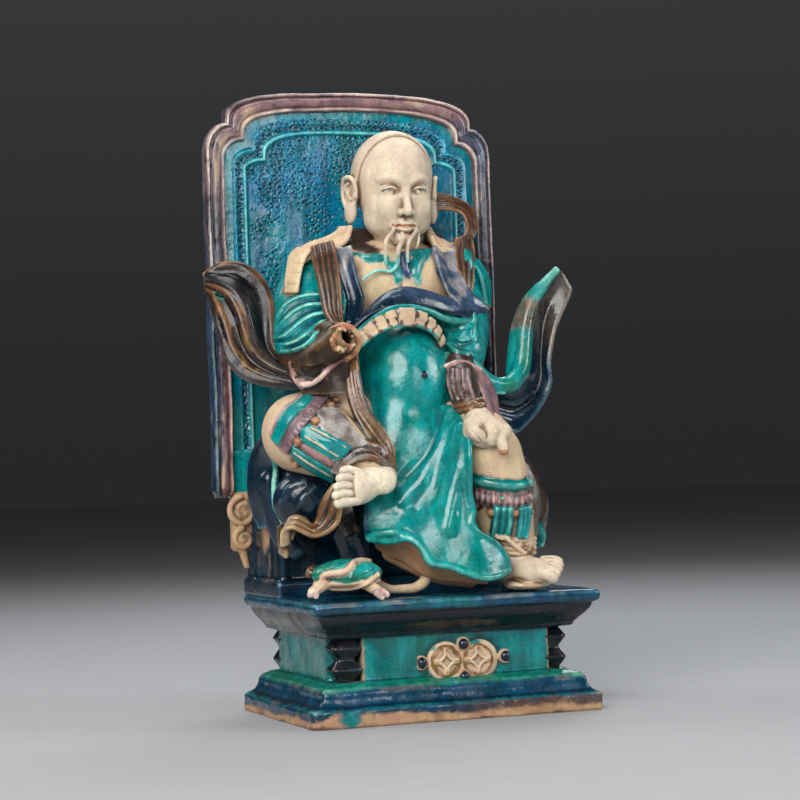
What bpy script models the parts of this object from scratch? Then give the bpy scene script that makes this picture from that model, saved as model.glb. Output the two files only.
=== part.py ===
"""Glazed stoneware figure seated before a tall throne back, on a moulded plinth.

One fired piece: plinth, seat block, throne back and figure are a single hollow
body, open underneath.  Metres, +Z up, front towards -Y.
"""
import math
import bpy
import bmesh
import numpy as np
from mathutils import Vector, Matrix

# ------------------------------------------------------------------ dimensions
MM = 0.001
PLINTH_W, PLINTH_D = 236.0, 179.0          # foot of the plinth, width and depth
BACK_Y = 92.0                              # rear plane of the plinth
LIP_Z = 13.6                               # top of the foot lip
FOOT_Z = 27.2                              # top of the base moulding
WAIST_Z0, WAIST_Z1 = 31.0, 65.0            # recessed waist
WAIST_W, WAIST_FRONT, WAIST_BACK = 190.0, -70.0, 80.0
NOTCH = 15.0                               # re-entrant corner of the waist
SLAB_Z0, SLAB_Z1 = 84.0, 93.3              # slab that carries the seat
SLAB_W = 231.0
SEAT_X0, SEAT_X1, SEAT_FRONT, SEAT_TOP = -112.0, 80.0, 2.0, 196.0
PANEL_X, PANEL_HALF = -16.3, 124.0         # throne back, centre and half width
PANEL_FRONT, PANEL_BACK = 76.0, 89.0
RIM_FRONT, RIM_W = 70.5, 14.5              # raised border of the throne back
NOTCH_HALF, NOTCH_Z = 107.0, 474.0         # stepped shoulders of the throne back
SHOULDER_Z, PANEL_TOP, RIM_LOW = 450.0, 501.0, 172.0
WALL = 12.0                                # wall of the hollow body
VOXEL, TARGET = 1.9, 7000                  # surface step of the drapery, faces kept
SHIFT = (11.5, 5.6, 0.0)                   # moves the finished body to its own origin

# A reference view: positions below that are written (across, down, depth) are
# read along the sight lines of a camera in front of the left corner.
VIEW_AZ, VIEW_EL, VIEW_ROLL = -20.6, -1.8, -1.89
VIEW_DIST, VIEW_FOCAL, VIEW_AIM = 1743.0, 2206.0, (-8.7, 0.0, 244.5)


def view_axes():
    a, e, r = (math.radians(v) for v in (VIEW_AZ, VIEW_EL, VIEW_ROLL))
    back = Vector((math.sin(a) * math.cos(e), -math.cos(a) * math.cos(e), math.sin(e)))
    right = Vector((math.cos(a), math.sin(a), 0.0))
    up = back.cross(right)
    across = right * math.cos(r) + up * math.sin(r)
    down = right * math.sin(r) - up * math.cos(r)
    return Vector(VIEW_AIM) + back * VIEW_DIST, across, down, -back


EYE, ACROSS, DOWN, AHEAD = view_axes()


def at(px, py, y):
    """Point at depth y (mm) seen at px, py in the reference view."""
    d = AHEAD + ACROSS * ((px - 400) / VIEW_FOCAL) + DOWN * ((py - 400) / VIEW_FOCAL)
    return EYE + d * ((y - EYE.y) / d.y)


# ------------------------------------------------------------------ collections
for old in list(bpy.data.objects):
    bpy.data.objects.remove(old, do_unlink=True)

scene_root = bpy.context.scene.collection
body_coll = bpy.data.collections.new("stoneware_figure")
form_coll = bpy.data.collections.new("forms")
cut_coll = bpy.data.collections.new("cutters")
for c in (body_coll, form_coll, cut_coll):
    scene_root.children.link(c)


def link(ob, coll):
    for c in list(ob.users_collection):
        c.objects.unlink(ob)
    coll.objects.link(ob)
    return ob


def helper(ob, coll):
    link(ob, coll)
    ob.hide_render = True
    ob.display_type = 'WIRE'
    return ob


def mesh_object(name, bm, coll):
    bmesh.ops.recalc_face_normals(bm, faces=bm.faces)
    me = bpy.data.meshes.new(name)
    bm.to_mesh(me)
    bm.free()
    return helper(bpy.data.objects.new(name, me), coll)


# ------------------------------------------------------------------ plain forms
def stacked(name, levels, coll=form_coll):
    """Rectangular moulding: the top face is drawn up through the levels.
    Each level is z, x0, x1, y0, y1."""
    bm = bmesh.new()
    bmesh.ops.create_cube(bm, size=1.0)
    for v in bm.verts:
        z, x0, x1, y0, y1 = levels[1] if v.co.z > 0 else levels[0]
        v.co = (x1 if v.co.x > 0 else x0, y1 if v.co.y > 0 else y0, z)
    for z, x0, x1, y0, y1 in levels[2:]:
        top = max(bm.faces, key=lambda f: f.calc_center_median().z)
        grown = bmesh.ops.extrude_face_region(bm, geom=[top])["geom"]
        verts = [g for g in grown if isinstance(g, bmesh.types.BMVert)]
        cx = sum(v.co.x for v in verts) / 4
        cy = sum(v.co.y for v in verts) / 4
        for v in verts:
            v.co = (x1 if v.co.x > cx else x0, y1 if v.co.y > cy else y0, z)
        bmesh.ops.delete(bm, geom=[top], context='FACES_ONLY')
    bmesh.ops.scale(bm, vec=(MM, MM, MM), verts=bm.verts)
    return mesh_object(name, bm, coll)


def block(name, x0, x1, y0, y1, z0, z1, coll=form_coll):
    return stacked(name, [(z0, x0, x1, y0, y1), (z1, x0, x1, y0, y1)], coll)


def plate(name, outline, y0, y1, coll=form_coll):
    """Flat outline in X and Z, drawn out between the depths y0 and y1."""
    cu = bpy.data.curves.new(name, 'CURVE')
    cu.dimensions = '2D'
    cu.fill_mode = 'BOTH'
    cu.extrude = (y1 - y0) / 2 * MM
    sp = cu.splines.new('POLY')
    sp.points.add(len(outline) - 1)
    for p, (x, z) in zip(sp.points, outline):
        p.co = (x * MM, z * MM, 0, 1)
    sp.use_cyclic_u = True
    ob = bpy.data.objects.new(name, cu)
    ob.rotation_euler = (math.pi / 2, 0, 0)
    ob.location = (0, (y0 + y1) / 2 * MM, 0)
    return as_mesh(ob, coll)


def as_mesh(ob, coll):
    """Curve to mesh, with its caps welded."""
    scene_root.objects.link(ob)
    bpy.context.view_layer.update()
    dg = bpy.context.evaluated_depsgraph_get()
    me = bpy.data.meshes.new_from_object(ob.evaluated_get(dg))
    world = ob.matrix_world.copy()
    name = ob.name
    bpy.data.objects.remove(ob, do_unlink=True)
    bm = bmesh.new()
    bm.from_mesh(me)
    bmesh.ops.remove_doubles(bm, verts=bm.verts, dist=1e-6)
    bm.to_mesh(me)
    bm.free()
    me.transform(world)
    new = bpy.data.objects.new(name, me)
    return helper(new, coll)


def turned(name, centre, axis, radius, depth, sides=24, coll=form_coll, tip=None):
    """Disc, knob or bicone: a cone primitive with both caps, along an axis."""
    bm = bmesh.new()
    bmesh.ops.create_cone(bm, cap_ends=True, segments=sides, radius1=radius * MM,
                          radius2=(radius if tip is None else tip) * MM, depth=depth * MM)
    turn = Vector((0, 0, 1)).rotation_difference(Vector(axis)).to_matrix().to_4x4()
    bm.transform(Matrix.Translation(Vector(centre) * MM) @ turn)
    return mesh_object(name, bm, coll)


# ------------------------------------------------------------------ plinth
def rect(w, front, back):
    return (-w / 2, w / 2, front, back)


foot_front = BACK_Y - PLINTH_D
base = stacked("plinth_foot", [
    (0.0, *rect(PLINTH_W - 2, foot_front + 1, BACK_Y - 1)),
    (1.5, *rect(PLINTH_W, foot_front, BACK_Y)),
    (LIP_Z - 2, *rect(PLINTH_W, foot_front, BACK_Y)),
    (LIP_Z, *rect(PLINTH_W - 6, foot_front + 3, BACK_Y - 2)),
    (LIP_Z + 5, *rect(PLINTH_W - 16, foot_front + 6, BACK_Y - 4)),
    (FOOT_Z - 3, *rect(212, -82, 87)),
    (FOOT_Z, *rect(208, -80, 86)),
    (WAIST_Z0 + 1, *rect(194, -72, 81))])
base.hide_render = False
base.display_type = 'TEXTURED'
link(base, body_coll)

hw = WAIST_W / 2
waist_outline = [(-hw + NOTCH, WAIST_FRONT), (hw - NOTCH, WAIST_FRONT)]
block("waist_across", -hw, hw, WAIST_FRONT + NOTCH, WAIST_BACK - NOTCH, WAIST_Z0 - 2, WAIST_Z1 + 2)
block("waist_deep", -hw + NOTCH, hw - NOTCH, WAIST_FRONT, WAIST_BACK, WAIST_Z0 - 1.5, WAIST_Z1 + 1.5)
for sx in (-1, 1):
    for ny, cy in ((0, WAIST_FRONT + NOTCH - 5.5), (1, WAIST_BACK - NOTCH + 5.5)):
        cx = sx * (hw - NOTCH + 5.5)
        tag = "%s%d" % ("l" if sx < 0 else "r", ny)
        block("post_" + tag, cx - 6.5, cx + 6.5, cy - 6.5, cy + 6.5, WAIST_Z0 - 1.2, WAIST_Z1 + 1.2)
        for k, kz in enumerate((40.0, 57.0)):
            turned("knot_up_%s%d" % (tag, k), (cx, cy, kz + 3.9), (0, 0, 1), 13.0, 8.0, 4, tip=5.0)
            turned("knot_low_%s%d" % (tag, k), (cx, cy, kz - 3.9), (0, 0, 1), 5.0, 8.0, 4, tip=13.0)
stacked("slab", [
    (WAIST_Z1 - 1, *rect(194, -72, 82)),
    (WAIST_Z1 + 3, *rect(200, -75, 84)),
    (WAIST_Z1 + 6, *rect(206, -79, 86)),
    (SLAB_Z0 - 5, *rect(222, -87, 89)),
    (SLAB_Z0, *rect(SLAB_W - 1, -93, 91.5)),
    (SLAB_Z0 + 2, *rect(SLAB_W, -94, 92)),
    (SLAB_Z1 - 2, *rect(SLAB_W, -93.5, 92)),
    (SLAB_Z1, *rect(SLAB_W - 3, -91, 91))])
# medallion of two overlapping discs with four bosses, on the front of the waist
for k, (mx, mz, mr) in enumerate(((-8.0, 48.0, 14.5), (20.0, 48.0, 14.5))):
    turned("medal_%d" % k, (mx, WAIST_FRONT, mz), (0, 1, 0), mr, 7.0 + k * 0.6)
for k, (mx, mz) in enumerate(((-27.5, 48.0), (39.5, 48.0), (6.0, 61.5), (6.0, 34.5))):
    turned("boss_%d" % k, (mx, WAIST_FRONT - 2.2, mz), (0, -1, 0), 5.2, 6.4, 12, tip=2.6)


# ------------------------------------------------------------------ throne back
def back_outline(inset, low):
    """Stepped shoulders and a low arch, set in by a distance all round."""
    pts = []
    hs = PANEL_HALF - inset
    nz = NOTCH_Z - inset * 0.9
    nh = NOTCH_HALF - inset
    sz = SHOULDER_Z - inset * 0.4
    top = PANEL_TOP - inset
    pts.append((hs, low))
    for k in range(7):                                   # lower shoulder, round
        a = math.pi / 2 * k / 6
        pts.append((hs - (hs - nh) * (1 - math.cos(a)), sz + (nz - sz) * math.sin(a)))
    spring = nz + (top - nz) * 0.12
    for k in range(17):                                  # arch above the step
        a = math.pi * k / 16
        c, s = math.cos(a), math.sin(a)
        pts.append((nh * math.copysign(abs(c) ** 0.62, c), spring + (top - spring) * s ** 0.72))
    mirror = [(-x, z) for x, z in reversed(pts[:8])]
    return [(x + PANEL_X, z) for x, z in pts + mirror]


plate("throne_back", back_outline(2.0, RIM_LOW + 2), PANEL_FRONT, PANEL_BACK)
plate("throne_rim", back_outline(0.0, RIM_LOW), RIM_FRONT, PANEL_BACK - 3)
field = plate("throne_field", back_outline(RIM_W, RIM_LOW - 20), RIM_FRONT - 20, PANEL_FRONT + 0.4, cut_coll)
rim = bpy.data.objects["throne_rim"]
m = rim.modifiers.new("field", 'BOOLEAN')
m.operation, m.object, m.solver = 'DIFFERENCE', field, 'EXACT'
block("back_lower", SEAT_X0 + 3, SEAT_X1 - 3, PANEL_FRONT - 8, PANEL_BACK, SLAB_Z1 - 2, SLAB_Z1 + 80)

# ------------------------------------------------------------------ seat block
stacked("seat", [
    (SLAB_Z1 - 1.5, SEAT_X0 - 3, SEAT_X1 + 3, SEAT_FRONT - 4, PANEL_BACK - 1),
    (SLAB_Z1 + 10, SEAT_X0 - 3, SEAT_X1 + 3, SEAT_FRONT - 4, PANEL_BACK - 1),
    (SLAB_Z1 + 14, SEAT_X0, SEAT_X1, SEAT_FRONT, PANEL_BACK - 1),
    (SEAT_TOP, SEAT_X0 + 2, SEAT_X1 - 2, SEAT_FRONT + 6, PANEL_BACK - 1)])

# ------------------------------------------------------------------ the figure
soft = []


def lump(px, py, y, rx, ry, rz, tilt=(0, 0, 0)):
    bpy.ops.mesh.primitive_uv_sphere_add(segments=24, ring_count=16, radius=MM,
                                         location=at(px, py, y) * MM,
                                         rotation=[math.radians(t) for t in tilt])
    ob = bpy.context.active_object
    ob.scale = (rx, ry, rz)
    helper(ob, form_coll)
    soft.append(ob)


def strand(*pts):
    """Tapered round limb or fold through points across, down, depth, radius."""
    P = [np.array([*at(a, b, c), r]) for a, b, c, r in pts]
    P = [2 * P[0] - P[1]] + P + [2 * P[-1] - P[-2]]
    line = []
    for i in range(1, len(P) - 2):
        p0, p1, p2, p3 = P[i - 1:i + 3]
        n = max(3, int(np.linalg.norm((p2 - p1)[:3]) / 4.0))
        for k in range(n):
            t = k / n
            line.append(0.5 * (2 * p1 + (p2 - p0) * t + (2 * p0 - 5 * p1 + 4 * p2 - p3) * t * t
                               + (3 * p1 - p0 - 3 * p2 + p3) * t ** 3))
    line.append(P[-2])
    cu = bpy.data.curves.new("strand", 'CURVE')
    cu.dimensions = '3D'
    cu.bevel_depth = MM
    cu.bevel_resolution = 3
    cu.use_fill_caps = True
    sp = cu.splines.new('POLY')
    sp.points.add(len(line) - 1)
    for p, q in zip(sp.points, line):
        p.co = (q[0] * MM, q[1] * MM, q[2] * MM, 1)
        p.radius = max(q[3], 1.0)
    soft.append(as_mesh(bpy.data.objects.new("strand", cu), form_coll))
    for q in (line[0], line[-1]):
        bpy.ops.mesh.primitive_uv_sphere_add(segments=16, ring_count=10, radius=max(q[3], 1.0) * MM,
                                             location=Vector(q[:3]) * MM)
        soft.append(helper(bpy.context.active_object, form_coll))


# head, ears and neck
lump(394, 187, 9, 30.5, 36, 36.5)
lump(398, 214, -5, 26, 27, 29)
lump(351, 205, 9, 5, 9, 19)
lump(434, 202, 9, 5, 9, 18)
strand((395, 230, 12, 17), (394, 262, 14, 20))
strand((391, 226, -30, 3.4), (389, 248, -28, 3.2), (386, 268, -19, 3))
strand((404, 232, -31, 3.6), (401, 258, -28, 3.2), (400, 285, -19, 3))
strand((412, 226, -30, 3.4), (411, 250, -28, 3.2), (410, 276, -19, 3))
# collar, ribbon behind the head, strap over the shoulder
strand((352, 226, 14, 5), (336, 238, 18, 7), (308, 247, 22, 7))
strand((430, 232, 18, 5), (444, 243, 20, 6), (456, 246, 24, 5))
strand((434, 203, 34, 5), (453, 205, 34, 6), (470, 217, 32, 6), (474, 233, 28, 5),
       (463, 249, 20, 6), (461, 272, 6, 9), (466, 300, 0, 8))
strand((321, 250, 2, 9), (331, 276, -10, 10), (338, 304, -18, 8), (342, 325, -26, 5))
# trunk and shoulders
lump(392, 296, 20, 60, 38, 46)
lump(392, 350, 34, 66, 40, 70)
strand((318, 280, 22, 27), (392, 272, 24, 28), (456, 288, 20, 24))
lump(401, 392, -8, 39, 47, 60)
strand((352, 322, -24, 6), (375, 308, -34, 6), (405, 302, -38, 6), (440, 307, -30, 6), (480, 314, -6, 5))
strand((362, 343, -44, 4.5), (385, 323, -52, 4.5), (410, 316, -54, 4.5), (432, 323, -49, 4.5), (443, 343, -40, 4.5))
strand((338, 258, -2, 7), (344, 290, -16, 7), (354, 325, -26, 7))
strand((446, 252, 0, 7), (455, 285, -8, 8), (478, 310, -8, 6))
# arm with the open cuff
strand((312, 284, 16, 27), (306, 322, 4, 27), (306, 344, -12, 24))
strand((300, 348, -12, 20), (325, 345, -42, 16))
strand((306, 368, -26, 17), (322, 357, -46, 14), (338, 342, -62, 12))
strand((300, 381, -24, 8), (318, 380, -38, 8), (340, 366, -50, 8))
# arm that rests on the knee, with its hand
strand((462, 300, 14, 21), (464, 335, -4, 20), (461, 358, -26, 18))
strand((459, 366, -34, 15), (464, 392, -58, 13), (470, 404, -66, 11))
lump(484, 421, -76, 17, 15, 18, (0, -30, 0))
strand((492, 428, -84, 7), (501, 453, -87, 5))
# loins, thighs and shins
lump(392, 432, 12, 72, 46, 36)
strand((372, 428, 0, 32), (330, 428, -14, 32), (297, 430, -22, 28))
strand((300, 438, -28, 28), (326, 440, -46, 28), (350, 453, -60, 20), (366, 460, -63, 16))
strand((386, 476, -64, 14), (362, 486, -72, 15), (343, 489, -74, 11))
strand((420, 425, -4, 34), (465, 440, -44, 31), (494, 449, -66, 25))
strand((494, 455, -66, 26), (505, 500, -66, 24), (514, 538, -68, 18), (518, 556, -68, 15))
strand((517, 564, -64, 13), (535, 572, -82, 12), (555, 575, -98, 8))
strand((520, 470, -48, 12), (533, 490, -42, 11), (537, 515, -38, 11), (535, 540, -38, 7))
# robe falling between the legs to its hem
strand((384, 455, -40, 14), (371, 505, -36, 15), (377, 540, -50, 8))
strand((404, 450, -44, 20), (399, 503, -46, 20), (410, 544, -64, 9))
strand((430, 440, -44, 20), (428, 500, -56, 20), (445, 560, -74, 9))
strand((447, 428, -46, 16), (452, 490, -60, 17), (478, 570, -82, 9))
strand((456, 425, -50, 11), (468, 480, -68, 11), (482, 532, -80, 10), (508, 566, -86, 8))
# sash beside the belly, folds under the raised knee
strand((349, 364, -50, 6), (359, 400, -58, 7), (378, 435, -62, 7), (392, 463, -60, 6))
lump(312, 498, -20, 24, 24, 25)
strand((262, 440, 4, 7), (272, 500, 0, 7), (282, 540, -4, 6))
strand((352, 492, -40, 9), (338, 528, -36, 9), (312, 526, -32, 7), (292, 536, -26, 8))
strand((345, 512, -34, 7), (350, 542, -30, 5))
# long sleeve end, viewer's left
strand((305, 368, -16, 6), (280, 369, -8, 6), (268, 346, 0, 6), (264, 314, 6, 6),
       (259, 292, 10, 6), (247, 277, 14, 5.5), (230, 271, 18, 5), (212, 276, 22, 4))
strand((303, 375, -16, 8), (270, 370, -8, 8), (255, 348, 2, 8), (252, 318, 8, 8),
       (247, 296, 12, 7), (236, 284, 16, 6), (222, 279, 20, 5))
strand((300, 381, -16, 6), (262, 375, -6, 7), (242, 352, 4, 8), (240, 320, 9, 8), (236, 298, 13, 6), (226, 288, 18, 5))
strand((298, 385, -16, 4), (252, 372, -4, 5), (231, 346, 6, 6), (226, 320, 10, 6), (220, 298, 15, 5), (213, 286, 19, 4))
# long sleeve end, viewer's right
strand((447, 358, -30, 7), (468, 362, -32, 7), (487, 380, -34, 6), (505, 386, -32, 6), (520, 373, -28, 6),
       (524, 345, -24, 5.5), (531, 313, -20, 5), (545, 284, -18, 5), (556, 271, -17, 3))
strand((455, 374, -30, 8), (478, 388, -31, 9), (502, 401, -29, 9), (524, 397, -26, 9), (536, 374, -23, 8),
       (538, 345, -20, 8), (546, 312, -18, 7), (557, 286, -17, 4))
strand((468, 392, -26, 7), (490, 409, -25, 8), (513, 417, -23, 8), (533, 408, -21, 8), (544, 384, -19, 7),
       (548, 352, -17, 6), (556, 318, -16, 5), (565, 293, -16, 3.5))
# tortoise and snake on the slab
lump(347, 578, -72, 28, 19, 12)
strand((322, 585, -76, 5), (314, 590, -80, 4.5))
strand((372, 588, -80, 5), (386, 595, -84, 4.5))
strand((318, 572, -62, 5), (310, 570, -62, 5))
strand((366, 580, -60, 6), (378, 584, -54, 6))
strand((385, 592, -66, 4), (410, 592, -62, 4), (426, 583, -60, 4), (428, 573, -58, 3.5))
# scroll brackets under the ends of the throne back
for sx in (-1, 1):
    for bx, bz, br in ((-117.0, 159.0, 12.0), (-113.5, 140.0, 8.5)):
        turned("scroll_%d_%d" % (sx, bz), (PANEL_X + sx * (-bx + PANEL_X), 76.0, bz), (0, 1, 0), br, 13.0, 20)

# the drapery and limbs become one skin
bpy.context.view_layer.update()
bm = bmesh.new()
for ob in soft:
    me = ob.data.copy()
    me.transform(ob.matrix_world)
    bm.from_mesh(me)
    bpy.data.meshes.remove(me)
for ob in soft:
    bpy.data.objects.remove(ob, do_unlink=True)
skin_me = bpy.data.meshes.new("drapery")
bm.to_mesh(skin_me)
bm.free()
drapery = helper(bpy.data.objects.new("drapery", skin_me), cut_coll)
m = drapery.modifiers.new("skin", 'REMESH')
m.mode, m.voxel_size, m.adaptivity = 'VOXEL', VOXEL * MM, 0.0
m = drapery.modifiers.new("soften", 'SMOOTH')
m.factor, m.iterations = 0.5, 3
bpy.context.view_layer.update()
dg = bpy.context.evaluated_depsgraph_get()
count = len(drapery.evaluated_get(dg).data.polygons) * 2
m = drapery.modifiers.new("facets", 'DECIMATE')
m.ratio = TARGET / count

# ------------------------------------------------------------------ one body
m = base.modifiers.new("forms", 'BOOLEAN')
m.operation, m.operand_type, m.collection, m.solver = 'UNION', 'COLLECTION', form_coll, 'EXACT'
m = base.modifiers.new("figure", 'BOOLEAN')
m.operation, m.object, m.solver = 'UNION', drapery, 'EXACT'

# open cuff, and the hollow that is open underneath
hole = at(341, 339, -64)
along = (at(341, 339, -64) - at(306, 368, -26)).normalized()
turned("cuff_hole", hole - along * 6, along, 6.5, 26.0, 12, cut_coll)
stacked("hollow", [
    (-5, *rect(PLINTH_W - 2 * WALL - 4, foot_front + WALL + 1, BACK_Y - WALL - 1)),
    (12, *rect(PLINTH_W - 2 * WALL - 6, foot_front + WALL + 2, BACK_Y - WALL - 2)),
    (28, *rect(WAIST_W - 2 * WALL - 8, WAIST_FRONT + WALL + 3, WAIST_BACK - WALL - 3)),
    (70, *rect(WAIST_W - 2 * WALL - 8, WAIST_FRONT + WALL + 3, WAIST_BACK - WALL - 3)),
    (78, *rect(WAIST_W - 2 * WALL - 8, WAIST_FRONT + WALL + 6, WAIST_BACK - WALL - 3))], cut_coll)
block("seat_hollow", SEAT_X0 + WALL + 18, SEAT_X1 - WALL - 2, SEAT_FRONT + WALL + 4,
      PANEL_FRONT - WALL - 2, 74, SEAT_TOP - 14, cut_coll)
for name in ("hollow", "seat_hollow", "cuff_hole"):
    m = base.modifiers.new(name, 'BOOLEAN')
    m.operation, m.object, m.solver = 'DIFFERENCE', bpy.data.objects[name], 'EXACT'

# ------------------------------------------------------------------ finish
glaze = bpy.data.materials.new("glazed_stoneware")
glaze.use_nodes = True
bsdf = glaze.node_tree.nodes["Principled BSDF"]
bsdf.inputs["Base Color"].default_value = (0.0, 0.26, 0.29, 1)
bsdf.inputs["Roughness"].default_value = 0.18
bsdf.inputs["Metallic"].default_value = 0.0
base.data.materials.append(glaze)
base.name = "stoneware_figure"
base.data.name = "stoneware_figure"
base.location = Vector(SHIFT) * MM
for ob in list(form_coll.objects) + list(cut_coll.objects):
    ob.location = ob.location + Vector(SHIFT) * MM
bpy.context.view_layer.update()
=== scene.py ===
"""Finish of the glazed stoneware figure: modelled skin, glazes, camera and light."""
import math, time
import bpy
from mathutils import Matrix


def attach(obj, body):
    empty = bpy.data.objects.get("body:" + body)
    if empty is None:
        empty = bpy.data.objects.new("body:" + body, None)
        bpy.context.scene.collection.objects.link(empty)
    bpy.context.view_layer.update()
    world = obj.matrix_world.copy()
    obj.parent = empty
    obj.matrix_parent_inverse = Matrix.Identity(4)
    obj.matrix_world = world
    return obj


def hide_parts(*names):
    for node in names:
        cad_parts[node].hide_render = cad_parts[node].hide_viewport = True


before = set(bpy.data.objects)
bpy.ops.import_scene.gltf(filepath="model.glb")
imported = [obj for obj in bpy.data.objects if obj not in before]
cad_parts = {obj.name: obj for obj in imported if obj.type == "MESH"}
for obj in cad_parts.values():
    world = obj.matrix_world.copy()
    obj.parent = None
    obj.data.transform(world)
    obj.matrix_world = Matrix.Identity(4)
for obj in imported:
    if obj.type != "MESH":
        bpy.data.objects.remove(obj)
import bpy, openvdb
import numpy as np
from mathutils import Matrix, Vector, kdtree

T0 = time.time()
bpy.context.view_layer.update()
SHIFT = np.array([11.5, 5.6, 0.0])          # mm, same as in the CAD source
NODE = "stoneware_figure"
SCALE = 1.0


def say(*a):
    print("[%5.1f]" % (time.time() - T0), *a, flush=True)


# --------------------------------------------------------------- reference view
VIEW = dict(az=-20.6, el=-1.8, roll=-1.89, dist=1743.0, f=2206.0, aim=(-8.7, 0.0, 244.5))


def view_axes():
    a, e, r = np.radians([VIEW["az"], VIEW["el"], VIEW["roll"]])
    back = np.array([np.sin(a) * np.cos(e), -np.cos(a) * np.cos(e), np.sin(e)])
    right = np.array([np.cos(a), np.sin(a), 0.0])
    up = np.cross(back, right)
    R = right * np.cos(r) + up * np.sin(r)
    U = -right * np.sin(r) + up * np.cos(r)
    return np.array(VIEW["aim"]) + back * VIEW["dist"], R, U, -back


EYE, RIGHT, UP, AHEAD = view_axes()


def at(px, py, y):
    """Point (mm) at depth y on the sight line of image position px, py."""
    d = AHEAD + RIGHT * (px - 400) / VIEW["f"] - UP * (py - 400) / VIEW["f"]
    return EYE + d * ((y - EYE[1]) / d[1])


def seen(P):
    d = np.asarray(P, float) - EYE
    z = d @ AHEAD
    return 400 + VIEW["f"] * (d @ RIGHT) / z, 400 - VIEW["f"] * (d @ UP) / z


def srgb(r, g, b):
    c = np.array([r, g, b], float) / 255
    return np.where(c <= 0.04045, c / 12.92, ((c + 0.055) / 1.055) ** 2.4)


# glazes: colour, colour where it lies thin on a ridge (partly a painted highlight), colour where it pools (partly
# painted shade in hollows), gloss
GLAZE = {
    "teal": (srgb(0, 122, 120), srgb(120, 198, 180), srgb(0, 62, 78), 1.0),
    "teal_light": (srgb(14, 140, 134), srgb(150, 208, 192), srgb(0, 84, 92), 1.0),
    "belly": (srgb(0, 130, 128), srgb(80, 186, 172), srgb(0, 72, 84), 1.0),
    "green": (srgb(12, 110, 90), srgb(140, 192, 162), srgb(0, 58, 56), 1.0),
    "field": (srgb(0, 104, 134), srgb(60, 184, 200), srgb(0, 46, 74), 1.0),
    "blue": (srgb(4, 60, 86), srgb(92, 150, 162), srgb(2, 24, 40), 1.0),
    "slate": (srgb(52, 72, 98), srgb(160, 170, 184), srgb(18, 32, 54), 1.0),
    "navy": (srgb(6, 31, 47), srgb(66, 104, 122), srgb(3, 10, 19), 1.0),
    "ink": (srgb(13, 14, 20), srgb(78, 68, 62), srgb(5, 6, 9), 1.0),
    "brown": (srgb(48, 35, 28), srgb(132, 100, 70), srgb(14, 11, 9), 0.85),
    "amber": (srgb(96, 62, 36), srgb(168, 126, 84), srgb(36, 22, 14), 0.9),
    "grey": (srgb(100, 92, 86), srgb(190, 178, 166), srgb(42, 37, 37), 0.85),
    "pearl": (srgb(156, 150, 146), srgb(214, 208, 200), srgb(70, 68, 78), 0.9),
    "smoke": (srgb(40, 36, 36), srgb(122, 110, 98), srgb(14, 12, 13), 1.0),
    "pink": (srgb(146, 106, 106), srgb(208, 182, 170), srgb(74, 40, 50), 0.75),
    "plum": (srgb(112, 90, 96), srgb(206, 184, 172), srgb(38, 30, 44), 0.85),
    "cream": (srgb(196, 170, 138), srgb(214, 192, 164), srgb(112, 82, 56), 0.10),
    "skin": (srgb(196, 178, 155), srgb(214, 198, 174), srgb(124, 94, 68), 0.16),
    "sole": (srgb(208, 195, 172), srgb(222, 212, 194), srgb(146, 118, 92), 0.35),
    "bare": (srgb(174, 136, 102), srgb(200, 168, 136), srgb(84, 58, 40), 0.05),
    "rust": (srgb(156, 92, 62), srgb(192, 136, 100), srgb(70, 38, 26), 0.05),
    "olive": (srgb(84, 64, 38), srgb(156, 124, 84), srgb(26, 19, 13), 0.9),
    "gold": (srgb(118, 84, 48), srgb(170, 132, 84), srgb(46, 30, 18), 0.95),
}

# --------------------------------------------------------------- noise
_rng = np.random.default_rng(20261)
_LAT = _rng.uniform(-1, 1, (32, 32, 32)).astype(np.float32)


def noise(P, size, off=0.0):
    """Smooth value noise in -1..1 with cells of the given size (mm)."""
    Q = np.asarray(P, np.float32) / size + np.float32(off * 7.31 + 100.0)
    I = np.floor(Q).astype(np.int64)
    f = Q - I
    f = f * f * (3 - 2 * f)
    out = 0
    for dx in (0, 1):
        for dy in (0, 1):
            for dz in (0, 1):
                w = ((f[..., 0] if dx else 1 - f[..., 0]) * (f[..., 1] if dy else 1 - f[..., 1])
                     * (f[..., 2] if dz else 1 - f[..., 2]))
                out = out + w * _LAT[(I[..., 0] + dx) % 32, (I[..., 1] + dy) % 32, (I[..., 2] + dz) % 32]
    return out


def fractal(P, size, off=0.0, octaves=3):
    return sum(noise(P, size / 2 ** k, off + k) * 0.5 ** k for k in range(octaves)) / 1.6


def smooth(a, b, x):
    t = np.clip((x - a) / (b - a), 0, 1)
    return t * t * (3 - 2 * t)


# --------------------------------------------------------------- paths
def spline(pts, step=2.0):
    """Catmull-Rom through rows whose first three numbers are a position."""
    P = np.array(pts, float)
    if len(P) == 2:
        n = max(2, int(np.linalg.norm((P[1] - P[0])[:3]) / step))
        return P[0] + (P[1] - P[0]) * np.linspace(0, 1, n + 1)[:, None]
    P = np.vstack([2 * P[0] - P[1], P, 2 * P[-1] - P[-2]])
    out = []
    for i in range(1, len(P) - 2):
        p0, p1, p2, p3 = P[i - 1:i + 3]
        n = max(2, int(np.linalg.norm((p2 - p1)[:3]) / step))
        t = (np.arange(n) / n)[:, None]
        out.append(0.5 * (2 * p1 + (p2 - p0) * t + (2 * p0 - 5 * p1 + 4 * p2 - p3) * t ** 2
                          + (3 * p1 - p0 - 3 * p2 + p3) * t ** 3))
    return np.vstack(out + [P[-2:-1]])


def even(pts, n):
    """n points evenly spaced along the spline through pts."""
    S = spline(pts, 1.0)
    L = np.r_[0, np.cumsum(np.linalg.norm(np.diff(S[:, :3], axis=0), axis=1))]
    t = np.linspace(0, L[-1], n)
    return np.stack([np.interp(t, L, S[:, k]) for k in range(S.shape[1])], 1)


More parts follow.
